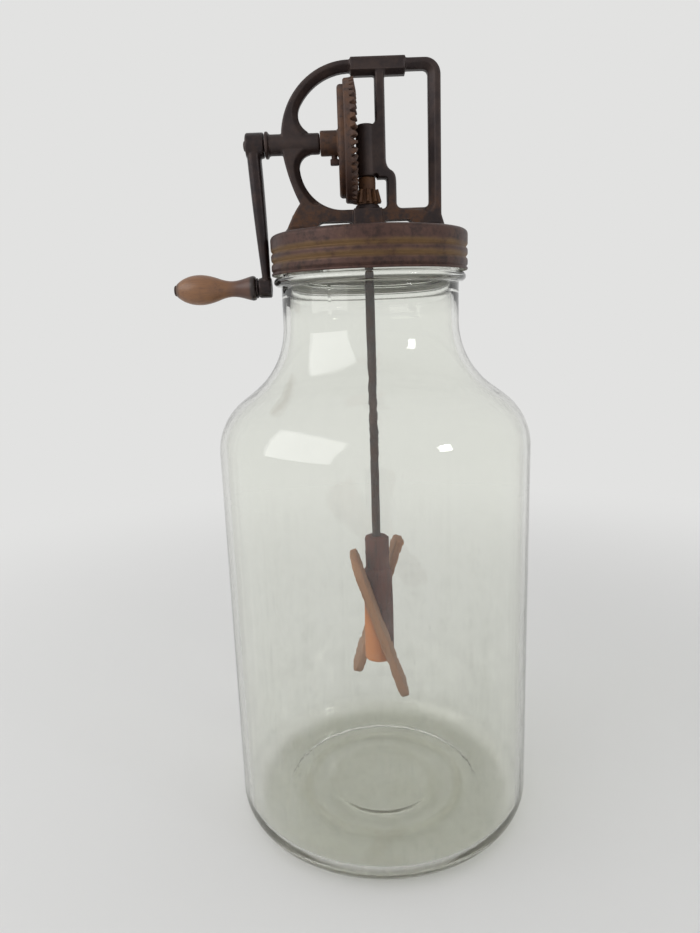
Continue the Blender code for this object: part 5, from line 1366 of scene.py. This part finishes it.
def toothed_ring(name, ends, centre, axis, teeth, rounding, phase=0.0):
    """Model one tooth, round its edges and copy it round its axis."""
    made = start_piece(name)
    centre = Vector(centre)

    def point(radius, along, angle):
        if axis == "X":
            return centre + Vector((along, radius * math.sin(angle), -radius * math.cos(angle)))
        return centre + Vector((radius * math.cos(angle), radius * math.sin(angle), along))

    for corners in ends:
        draw_line([point(r, a, phase + turn_by) for r, a, turn_by in corners], True)
    bpy.ops.mesh.select_all(action="SELECT")
    bpy.ops.mesh.bridge_edge_loops()
    select_edges(lambda edge: len(edge.link_faces) < 2)
    bpy.ops.mesh.fill_holes(sides=0)
    bpy.ops.mesh.select_all(action="SELECT")
    bpy.ops.mesh.normals_make_consistent(inside=False)
    bpy.ops.mesh.bevel(offset=rounding, segments=2, profile=0.5, affect="EDGES")
    bpy.ops.mesh.select_all(action="SELECT")
    direction = (1, 0, 0) if axis == "X" else (0, 0, 1)
    turned_by = math.tau * (teeth - 1) / teeth
    bpy.ops.mesh.spin(steps=teeth - 1, dupli=True, angle=turned_by, center=centre, axis=direction)
    bpy.ops.mesh.select_all(action="SELECT")
    bpy.ops.mesh.normals_make_consistent(inside=False)
    bpy.ops.object.mode_set(mode="OBJECT")
    return made


def pinion_ends(g, distance, cone, pitch):
    """The two ends of one small gear tooth on an involute, as (radius, along, angle) points."""
    tip = pitch + g.pinion_tip * g.module
    base = pitch * math.cos(g.pressure)
    root = pitch - g.pinion_root * g.module
    half_at_pitch = g.tooth * math.pi / g.pinion_teeth

    def roll_off(angle):
        return math.tan(angle) - angle

    flank = []
    for radius in [root - 0.5 * MM, base] + [base + (tip - base) * step / 6 for step in range(1, 7)]:
        angle = math.acos(min(1, base / radius))
        half = half_at_pitch + roll_off(g.pressure) - roll_off(angle)
        flank.append((cone + (radius - pitch) / distance, half))
    ends = []
    for reach in (distance, distance - g.face):
        left = [(reach * math.sin(place), -reach * math.cos(place), -half) for place, half in flank]
        right = [(r, a, -turn_by) for r, a, turn_by in reversed(left)]
        ends.append(left + right)
    return ends


def model_pinion(g, dasher, f):
    """The small gear: a turned blank and sleeve, and one tooth copied round it."""
    shaft_z = f.base + f.shaft
    pitch = g.module * g.pinion_teeth / 2
    wheel_pitch = g.module * g.wheel_teeth / 2
    distance = math.hypot(pitch, wheel_pitch)
    cone = math.atan2(g.pinion_teeth, g.wheel_teeth)
    root = cone - g.pinion_root * g.module / distance
    base = -distance * math.cos(cone) - g.pinion_base
    inner = distance - g.face
    bore = dasher.rod + 0.3 * MM
    top = -f.boss_below - 0.3 * MM
    low_sleeve = -inner * math.cos(root) + g.module / 2
    root_reach = distance * math.sin(root)
    blank = [(bore, base), (root_reach, base), (root_reach, base + g.pinion_base)]
    blank += [(inner * math.sin(root), -inner * math.cos(root)), (g.sleeve, low_sleeve)]
    blank += [(g.sleeve, top - 0.5 * MM), (g.sleeve - 0.5 * MM, top), (bore, top)]
    centre = (0, 0, shaft_z)
    pinion = turned_piece("pinion_looks", blank, "Z", centre, 80)
    ends = pinion_ends(g, distance, cone, pitch)
    teeth = toothed_ring(
        "pinion_teeth", ends, centre, "Z", g.pinion_teeth, 0.25 * MM, math.pi / g.pinion_teeth
    )
    join_pieces(pinion, [teeth])
    shade(pinion, 30)
    return pinion


def model_set_screw(g, shaft_z, crank):
    """A square-headed screw with a round neck, its head's edges worn round."""
    small_pitch = g.module * g.pinion_teeth / 2
    x = -(small_pitch + g.rim_back + g.plate) - g.screw_inset
    head_top = shaft_z - g.hub - g.screw_stand
    low = head_top - g.screw_head_height
    half = g.screw_head / 2
    head = block_piece("set_screw_looks", (x - half, -half, low), (x + half, half, head_top), 0.7 * MM)
    neck = [(0, low + 1 * MM), (g.screw, low + 1 * MM), (g.screw, shaft_z - crank.shaft - 0.3 * MM)]
    neck += [(0, shaft_z - crank.shaft - 0.3 * MM)]
    boolean(head, turned_piece("set_screw_neck", neck, centre=(x, 0, 0), steps=32), "UNION")
    shade(head, 40)
    return head


def model_crank(c, shaft_z):
    """The cast arm: two bosses and a tapered oval arm with one cast skin."""
    face = -c.face
    low_z = shaft_z - c.throw

    def boss_outline(radius, span):
        r = c.boss_round
        end = face - span
        outline = [(0, face), (radius - 0.6 * MM, face), (radius, face - 0.6 * MM)]
        return outline + arc(radius - r, end + r, r, 0, -QUARTER, 6) + [(0, end)]

    top = turned_piece("crank_looks", boss_outline(c.boss, c.boss_length), "X", (0, 0, shaft_z), 64)
    foot = turned_piece("crank_foot", boss_outline(c.foot, c.foot_length), "X", (0, 0, low_z), 64)
    top_x = face - c.inset_top - c.thick_top / 2
    foot_x = face - c.inset_foot - c.thick_foot / 2
    sections = []
    for step in range(9):
        s = step / 8
        thick = c.thick_top + (c.thick_foot - c.thick_top) * s * s
        broad = c.broad_top + (c.broad_foot - c.broad_top) * s
        z = shaft_z - c.boss / 2 * (1 - s) - (c.throw - c.foot / 2) * s
        middle = top_x + (foot_x - top_x) * s
        ring = []
        for index in range(32):
            a = math.tau * index / 32
            bulge = 1 / (abs(math.cos(a)) ** 2.6 + abs(math.sin(a)) ** 2.6) ** (1 / 2.6)
            x = middle + thick / 2 * bulge * math.cos(a)
            ring.append((x, broad / 2 * bulge * math.sin(a), z))
        sections.append(ring)
    join_pieces(top, [foot, lofted_piece("crank_bar", sections, 2)])
    cast_surface(top, c.grain, 5)
    inner = face - c.boss_length + c.end_wall
    over = 3 * MM
    holes = (
        ("shaft_socket", c.shaft + GAP, inner, face + over, shaft_z),
        ("screw_socket", c.screw + GAP, face - c.boss_length - over, inner + 1 * MM, shaft_z),
        ("pin_socket", 2.8 * MM + GAP, face - c.foot_length - over, face + over, low_z),
    )
    for name, radius, left, right, z in holes:
        outline = [(0, left), (radius, left), (radius, right), (0, right)]
        boolean(top, turned_piece(name, outline, "X", (0, 0, z), 48), "DIFFERENCE")
    shade(top, 50)
    return top


def model_crank_screw(c, shaft_z):
    seat = -c.face - c.boss_length - 0.3 * MM
    dome = c.screw_head_height
    outline = [(0, seat + 9 * MM), (c.screw, seat + 9 * MM), (c.screw, seat), (c.screw_head, seat)]
    outline += [(c.screw_head, seat - dome / 4), (c.screw_head * 0.86, seat - dome * 0.7)]
    outline += [(c.screw_head * 0.5, seat - dome * 0.96), (0, seat - dome)]
    piece = turned_piece("crank_screw_looks", outline, "X", (0, 0, shaft_z), 48)
    shade(piece, 50)
    return piece


GRIP_KNOTS = (
    (0.0, 0.70),
    (0.012, 0.78),
    (0.035, 0.815),
    (0.06, 0.80),
    (0.10, 0.74),
    (0.17, 0.63),
    (0.24, 0.55),
    (0.32, 0.53),
    (0.41, 0.62),
    (0.51, 0.81),
    (0.61, 0.95),
    (0.70, 0.999),
    (0.80, 0.955),
    (0.89, 0.80),
    (0.95, 0.62),
    (0.985, 0.47),
    (1.0, 0.38),
)


def model_grip(grip, start, z):
    """The turned wooden grip, from its flared rim to the riveted end."""
    bore = grip.pin + 0.3 * MM
    knots = smooth_profile(GRIP_KNOTS, 4)
    side = [(radius * grip.radius, start - along * grip.length) for along, radius in knots]
    outline = side + [(bore, start - grip.length), (bore, start)]
    piece = turned_piece("grip_looks", outline, "X", (0, 0, z), 96)
    shade(piece, 40)
    return piece


def model_washer(grip, start, z):
    bore = grip.pin + 0.3 * MM
    r = grip.washer_thickness * 0.4
    outline = [(bore, start)] + arc(grip.washer - r, start - r, r, QUARTER, 0, 4)
    outline += arc(grip.washer - r, start - grip.washer_thickness + r, r, 0, -QUARTER, 4)
    outline += [(bore, start - grip.washer_thickness)]
    piece = turned_piece("washer_looks", outline, "X", (0, 0, z), 64)
    shade(piece, 50)
    return piece


def model_pin(grip, face, seat, z):
    head = grip.pin_head
    rise = grip.pin_head_height
    outline = [(0, face), (grip.pin, face), (grip.pin, seat), (head, seat), (head, seat - rise / 4)]
    outline += [(head * 0.85, seat - rise * 0.72), (head * 0.5, seat - rise * 0.96), (0, seat - rise)]
    piece = turned_piece("handle_pin_looks", outline, "X", (0, 0, z), 48)
    shade(piece, 50)
    return piece


def model_hub(d):
    """The turned hub: a broad tapered part, a rounded shoulder and a collar."""
    r = d.rounding
    top = d.base + d.lower + d.collar
    shoulder = d.base + d.lower
    outline = [(0, d.base), (d.foot - 0.8 * MM, d.base), (d.foot, d.base + 0.8 * MM)]
    outline += curve_through(
        (d.shoulder, shoulder - r * 1.5),
        (d.shoulder - 0.4 * MM, shoulder),
        (d.collar_radius, shoulder + r),
        6,
    )
    outline += arc(d.collar_radius - r, top - r, r, 0, QUARTER, 6) + [(0, top)]
    hub = turned_piece("hub_looks", outline, steps=80)
    bore = d.rod + GAP
    hole = [(0, d.rod_bottom - GAP), (bore, d.rod_bottom - GAP), (bore, top + 3 * MM), (0, top + 3 * MM)]
    boolean(hub, turned_piece("hub_hole", hole, steps=48), "DIFFERENCE", "EXACT")
    return hub


def model_blade(d, name, side, grow):
    """A plank on edge that reaches out from the hub, its outer corners rounded."""
    half = d.blade / 2 + grow
    inner = d.blade_inner - grow
    span = d.blade_reach - d.blade_inner + 2 * grow
    outer = ((0.45, 1.0), (0.62, 0.985), (0.76, 0.945), (0.88, 0.88), (0.96, 0.81), (1.0, 0.75))
    heel = ((0.0, 0.8), (0.05, 0.88), (0.12, 0.94), (0.22, 0.98), (0.45, 1.0))
    upper = [(inner + across * span, along * half) for across, along in smooth_profile(outer, 3)]
    under = [(inner + across * span, -along * half) for across, along in smooth_profile(heel, 3)]
    outline = [(inner, half)] + upper + [(y, -z) for y, z in reversed(upper)] + under[-2::-1]
    thick = d.blade_thickness / 2 + grow
    sections = [[(x, side * y, z) for y, z in outline] for x in (-thick, thick)]
    blade = lofted_piece(name, sections, 0)
    if not grow:
        bpy.ops.object.mode_set(mode="EDIT")
        select_edges(lambda edge: edge.is_manifold and edge.calc_face_angle() > 1)
        bpy.ops.mesh.bevel(offset=1.1 * MM, segments=4, profile=0.5, affect="EDGES")
        tidy_surface()
    place = Matrix.Translation((0, 0, d.base + d.blade_rise)) @ Matrix.Rotation(side * d.blade_tilt, 4, "Y")
    blade.matrix_world = place
    bpy.ops.object.select_all(action="DESELECT")
    blade.select_set(True)
    bpy.context.view_layer.objects.active = blade
    bpy.ops.object.transform_apply(location=True, rotation=True, scale=True)
    return blade


def model_rod(d):
    """The dasher's rod, its side split into 60 rings along its length."""
    outline = [(0, d.rod_bottom), (d.rod, d.rod_bottom)]
    outline += [(d.rod, d.rod_bottom + (d.rod_top - d.rod_bottom) * step / 60) for step in range(1, 60)]
    outline += [(d.rod, d.rod_top - 0.6 * MM), (d.rod - 0.6 * MM, d.rod_top), (0, d.rod_top)]
    rod = turned_piece("rod_looks", outline, steps=32)
    shade(rod, 50)
    return rod


# Operators


class CHURN_OT_finishes(bpy.types.Operator):
    """Make the materials of glass, tin, iron, steel, wood and cork"""

    bl_idname = "churn.make_finishes"
    bl_label = "Make the finishes"

    def execute(self, context):
        scene = context.scene
        c = scene.churn_colours
        base = scene.churn_frame.base
        grip_near = -(scene.churn_crank.face + scene.churn_crank.foot_length + 1.8 * MM)
        FINISHES["glass"] = glass_finish(c, scene.churn_jar)
        FINISHES["tin"] = tin_finish(c, scene.churn_lid)
        rust_line = (base + 8 * MM, base + 34 * MM)
        FINISHES["iron"] = iron_finish("cast_iron", c.iron, c.iron_worn, c.iron_rust, *rust_line, 0.36)
        FINISHES["crank"] = iron_finish("crank_iron", c.crank, c.crank_worn, c.iron_rust, 0.3, 0.31, 0.24)
        FINISHES["wheel"] = gear_finish("wheel_iron", c.wheel, c.iron_rust, c.grease_and_shade, 0.5)
        FINISHES["pinion"] = gear_finish("pinion_iron", c.pinion, c.iron_rust, c.grease_and_shade, 0.55)
        FINISHES["steel"] = steel_finish(c)
        FINISHES["grip"] = grip_finish(c, grip_near, grip_near - scene.churn_grip.length)
        FINISHES["hub"] = hub_finish(c, scene.churn_dasher)
        tilt = scene.churn_dasher.blade_tilt
        FINISHES["blade_front"] = blade_finish("blade_wood_front", c, tilt)
        FINISHES["blade_back"] = blade_finish("blade_wood_back", c, -tilt)
        FINISHES["lid_inside"] = lid_inside_finish(c)
        FINISHES["cork"] = cork_finish(c)
        return {"FINISHED"}


class CHURN_OT_jar(bpy.types.Operator):
    """Model the glass jar with its bead, lip and thread"""

    bl_idname = "churn.make_jar"
    bl_label = "Glass jar"

    def execute(self, context):
        jar = context.scene.churn_jar
        piece = turned_piece("jar_looks", jar_outline(jar), steps=160)
        boolean(piece, jar_thread(jar), "UNION", "EXACT")
        shade(piece, 40)
        dress(piece, "jar", ["glass_jar"], FINISHES["glass"])
        return {"FINISHED"}


def line_inside(piece, radius, finish):
    """Give the faces that look towards the rod, or down within a radius, their own finish."""
    piece.data.materials.append(finish)
    for face in piece.data.polygons:
        away = Vector((face.center.x, face.center.y, 0))
        inwards = away.normalized().dot(face.normal) < -0.25
        if inwards or (face.normal.z < -0.6 and away.length < radius):
            face.material_index = 1


class CHURN_OT_lid(bpy.types.Operator):
    """Model the rolled tin lid and finish what is fastened to it"""

    bl_idname = "churn.make_lid"
    bl_label = "Tin lid"

    def execute(self, context):
        lid = context.scene.churn_lid
        piece = turned_piece("lid_looks", lid_outline(lid), steps=160)
        shade(piece, 40)
        dress(piece, "lid", ["screw_lid"], FINISHES["tin"])
        line_inside(piece, lid.radius - 2 * lid.groove, FINISHES["lid_inside"])
        paint_node("lid_gasket", FINISHES["cork"])
        for node in ("frame_nut", "foot_rivet_left", "foot_rivet_right"):
            paint_node(node, FINISHES["steel"])
        return {"FINISHED"}


class CHURN_OT_frame(bpy.types.Operator):
    """Model the iron frame casting"""

    bl_idname = "churn.make_frame"
    bl_label = "Iron frame"

    def execute(self, context):
        scene = context.scene
        sleeve = scene.churn_gears.sleeve
        piece = model_frame(scene.churn_frame, scene.churn_crank, scene.churn_dasher, sleeve)
        dress(piece, "lid", ["frame_casting"], FINISHES["iron"])
        return {"FINISHED"}


class CHURN_OT_gears(bpy.types.Operator):
    """Model the two bevel gears and the set screw, and paint the cross pin and the crank shaft"""

    bl_idname = "churn.make_gears"
    bl_label = "Gears"

    def execute(self, context):
        scene = context.scene
        gears, f = scene.churn_gears, scene.churn_frame
        shaft_z = f.base + f.shaft
        wheel = model_wheel(gears, scene.churn_crank, shaft_z)
        dress(wheel, "crank", ["drive_gear"], FINISHES["wheel"])
        pinion = model_pinion(gears, scene.churn_dasher, f)
        dress(pinion, "dasher", ["pinion"], FINISHES["pinion"])
        screw = model_set_screw(gears, shaft_z, scene.churn_crank)
        dress(screw, "crank", ["gear_set_screw"], FINISHES["steel"])
        paint_node("pinion_pin", FINISHES["steel"])
        paint_node("crank_shaft", FINISHES["steel"])
        return {"FINISHED"}


class CHURN_OT_crank(bpy.types.Operator):
    """Model the crank arm and its end screw"""

    bl_idname = "churn.make_crank"
    bl_label = "Crank arm"

    def execute(self, context):
        scene = context.scene
        shaft_z = scene.churn_frame.base + scene.churn_frame.shaft
        arm = model_crank(scene.churn_crank, shaft_z)
        dress(arm, "crank", ["crank_arm"], FINISHES["crank"])
        screw = model_crank_screw(scene.churn_crank, shaft_z)
        dress(screw, "crank", ["crank_screw"], FINISHES["steel"])
        return {"FINISHED"}


class CHURN_OT_grip(bpy.types.Operator):
    """Model the turned grip, its washer and its pin"""

    bl_idname = "churn.make_grip"
    bl_label = "Handle"

    def execute(self, context):
        scene = context.scene
        crank, grip = scene.churn_crank, scene.churn_grip
        z = scene.churn_frame.base + scene.churn_frame.shaft - crank.throw
        washer_x = -crank.face - crank.foot_length - GAP
        start = washer_x - grip.washer_thickness - GAP
        wood = model_grip(grip, start, z)
        dress(wood, "grip", ["handle_grip"], FINISHES["grip"])
        washer = model_washer(grip, washer_x, z)
        dress(washer, "grip", ["grip_washer"], FINISHES["crank"])
        pin = model_pin(grip, -crank.face, start - grip.length - GAP, z)
        dress(pin, "crank", ["handle_pin"], FINISHES["steel"])
        return {"FINISHED"}


class CHURN_OT_dasher(bpy.types.Operator):
    """Model the rod, the wooden hub and its two blades"""

    bl_idname = "churn.make_dasher"
    bl_label = "Dasher"

    def execute(self, context):
        d = context.scene.churn_dasher
        hub = model_hub(d)
        blades = (("blade_front_looks", "blade_front", -1), ("blade_back_looks", "blade_back", 1))
        for name, node, side in blades:
            slot_cutter = model_blade(d, name + "_slot", side, 0.3 * MM)
            boolean(hub, slot_cutter, "DIFFERENCE", "EXACT")
            blade = model_blade(d, name, side, 0)
            shade(blade, 40)
            dress(blade, "dasher", [node], FINISHES[node])
        shade(hub, 35)
        dress(hub, "dasher", ["dasher_hub"], FINISHES["hub"])
        dress(model_rod(d), "dasher", ["dasher_rod"], FINISHES["steel"])
        paint_node("hub_pin", FINISHES["steel"])
        return {"FINISHED"}


class CHURN_OT_stage(bpy.types.Operator):
    """Lay the pale floor, set the soft lights and place the camera"""

    bl_idname = "churn.make_stage"
    bl_label = "Stage"

    def execute(self, context):
        scene = context.scene
        studio, colours = scene.churn_studio, scene.churn_colours
        lay_floor(colours)
        light_scene(scene, studio, colours)
        camera = bpy.data.objects.new("camera", bpy.data.cameras.new("camera"))
        scene.collection.objects.link(camera)
        camera.data.lens = studio.focal
        camera.data.sensor_width = 36
        place = Matrix.Translation((-0.0192, -0.533, 0.397))
        turned = Matrix.Rotation(studio.tilt, 4, "X") @ Matrix.Rotation(studio.roll, 4, "Z")
        camera.matrix_world = place @ turned
        scene.camera = camera
        scene.view_settings.view_transform = "Standard"
        return {"FINISHED"}


def lay_floor(colours):
    """A wide floor that fades into the backdrop's light far away."""
    to_object_mode()
    bpy.ops.object.select_all(action="DESELECT")
    bpy.ops.mesh.primitive_circle_add(vertices=96, radius=9, fill_type="NGON", location=(0, 0, -0.0004))
    floor = bpy.context.object
    floor.name = "floor"
    finish = Finish("pale_floor")
    away = finish.node("ShaderNodeVectorMath", {"operation": "LENGTH"}, {0: finish.place})
    far = Value(finish, away.outputs["Value"]).above(0.35, 1.1)
    matt = finish.shader(base_color=tuple(colours.ground), roughness=0.9, specular_ior_level=0.1)
    glow = finish.node("ShaderNodeEmission", {}, {"Color": tuple(colours.ground), "Strength": 1.0})
    sockets = {0: far, 1: matt, 2: glow.outputs[0]}
    floor.data.materials.append(finish.finished(finish.node("ShaderNodeMixShader", {}, sockets).outputs[0]))


def light_scene(scene, studio, colours):
    world = bpy.data.worlds.new("soft_studio")
    world.use_nodes = True
    nodes, links = world.node_tree.nodes, world.node_tree.links
    background = nodes["Background"]
    background.inputs["Color"].default_value = (1, 1, 1, 1)
    background.inputs["Strength"].default_value = studio.world
    seen = nodes.new("ShaderNodeBackground")
    seen.inputs["Color"].default_value = (*colours.ground, 1)
    ray = nodes.new("ShaderNodeLightPath")
    both = nodes.new("ShaderNodeMath")
    both.operation = "MAXIMUM"
    links.new(ray.outputs["Is Camera Ray"], both.inputs[0])
    links.new(ray.outputs["Is Transmission Ray"], both.inputs[1])
    mixer = nodes.new("ShaderNodeMixShader")
    links.new(both.outputs[0], mixer.inputs[0])
    links.new(background.outputs[0], mixer.inputs[1])
    links.new(seen.outputs[0], mixer.inputs[2])
    links.new(mixer.outputs[0], nodes["World Output"].inputs[0])
    scene.world = world
    lamps = (
        ("window_light", (-1.55, -0.95, 1.3), (0.0, 0.0, 0.35), 2.1, 1.5, studio.key),
        ("fill_light", (1.35, -1.1, 1.05), (0.0, 0.0, 0.35), 0.25, 0.3, studio.fill),
    )
    for name, place, target, width, height, power in lamps:
        lamp = bpy.data.lights.new(name, "AREA")
        lamp.shape = "RECTANGLE"
        lamp.size, lamp.size_y, lamp.energy = width, height, power
        holder = bpy.data.objects.new(name, lamp)
        scene.collection.objects.link(holder)
        direction = Vector(target) - Vector(place)
        turned = direction.to_track_quat("-Z", "Y").to_matrix().to_4x4()
        holder.matrix_world = Matrix.Translation(place) @ turned


class CHURN_PT_panel(bpy.types.Panel):
    """The churn's pieces in the sidebar"""

    bl_idname = "CHURN_PT_panel"
    bl_label = "Butter churn"
    bl_space_type = "VIEW_3D"
    bl_region_type = "UI"
    bl_category = "Churn"

    def draw(self, context):
        for operator in OPERATORS:
            self.layout.operator(operator.bl_idname)
        for name, group in GROUPS.items():
            box = self.layout.box()
            box.label(text=group.__name__.removeprefix("Churn"))
            values = getattr(context.scene, name)
            for value in group.__annotations__:
                box.prop(values, value)


GROUPS = {
    "churn_jar": ChurnJarSizes,
    "churn_lid": ChurnLidSizes,
    "churn_frame": ChurnFrameSizes,
    "churn_gears": ChurnGearSizes,
    "churn_crank": ChurnCrankSizes,
    "churn_grip": ChurnGripSizes,
    "churn_dasher": ChurnDasherSizes,
    "churn_colours": ChurnColours,
    "churn_studio": ChurnStudio,
}

OPERATORS = (
    CHURN_OT_finishes,
    CHURN_OT_jar,
    CHURN_OT_lid,
    CHURN_OT_frame,
    CHURN_OT_gears,
    CHURN_OT_crank,
    CHURN_OT_grip,
    CHURN_OT_dasher,
    CHURN_OT_stage,
)


def register():
    for name, group in GROUPS.items():
        bpy.utils.register_class(group)
        setattr(bpy.types.Scene, name, PointerProperty(type=group))
    for operator in OPERATORS:
        bpy.utils.register_class(operator)
    bpy.utils.register_class(CHURN_PT_panel)


def unregister():
    bpy.utils.unregister_class(CHURN_PT_panel)
    for operator in reversed(OPERATORS):
        bpy.utils.unregister_class(operator)
    for name, group in GROUPS.items():
        delattr(bpy.types.Scene, name)
        bpy.utils.unregister_class(group)


def main():
    register()
    for existing in ("Cube", "Light", "Camera"):
        if existing in bpy.data.objects:
            bpy.data.objects.remove(bpy.data.objects[existing], do_unlink=True)
    bpy.ops.churn.make_finishes()
    bpy.ops.churn.make_jar()
    bpy.ops.churn.make_lid()
    bpy.ops.churn.make_frame()
    bpy.ops.churn.make_gears()
    bpy.ops.churn.make_crank()
    bpy.ops.churn.make_grip()
    bpy.ops.churn.make_dasher()
    bpy.ops.churn.make_stage()


if __name__ == "__main__":
    main()
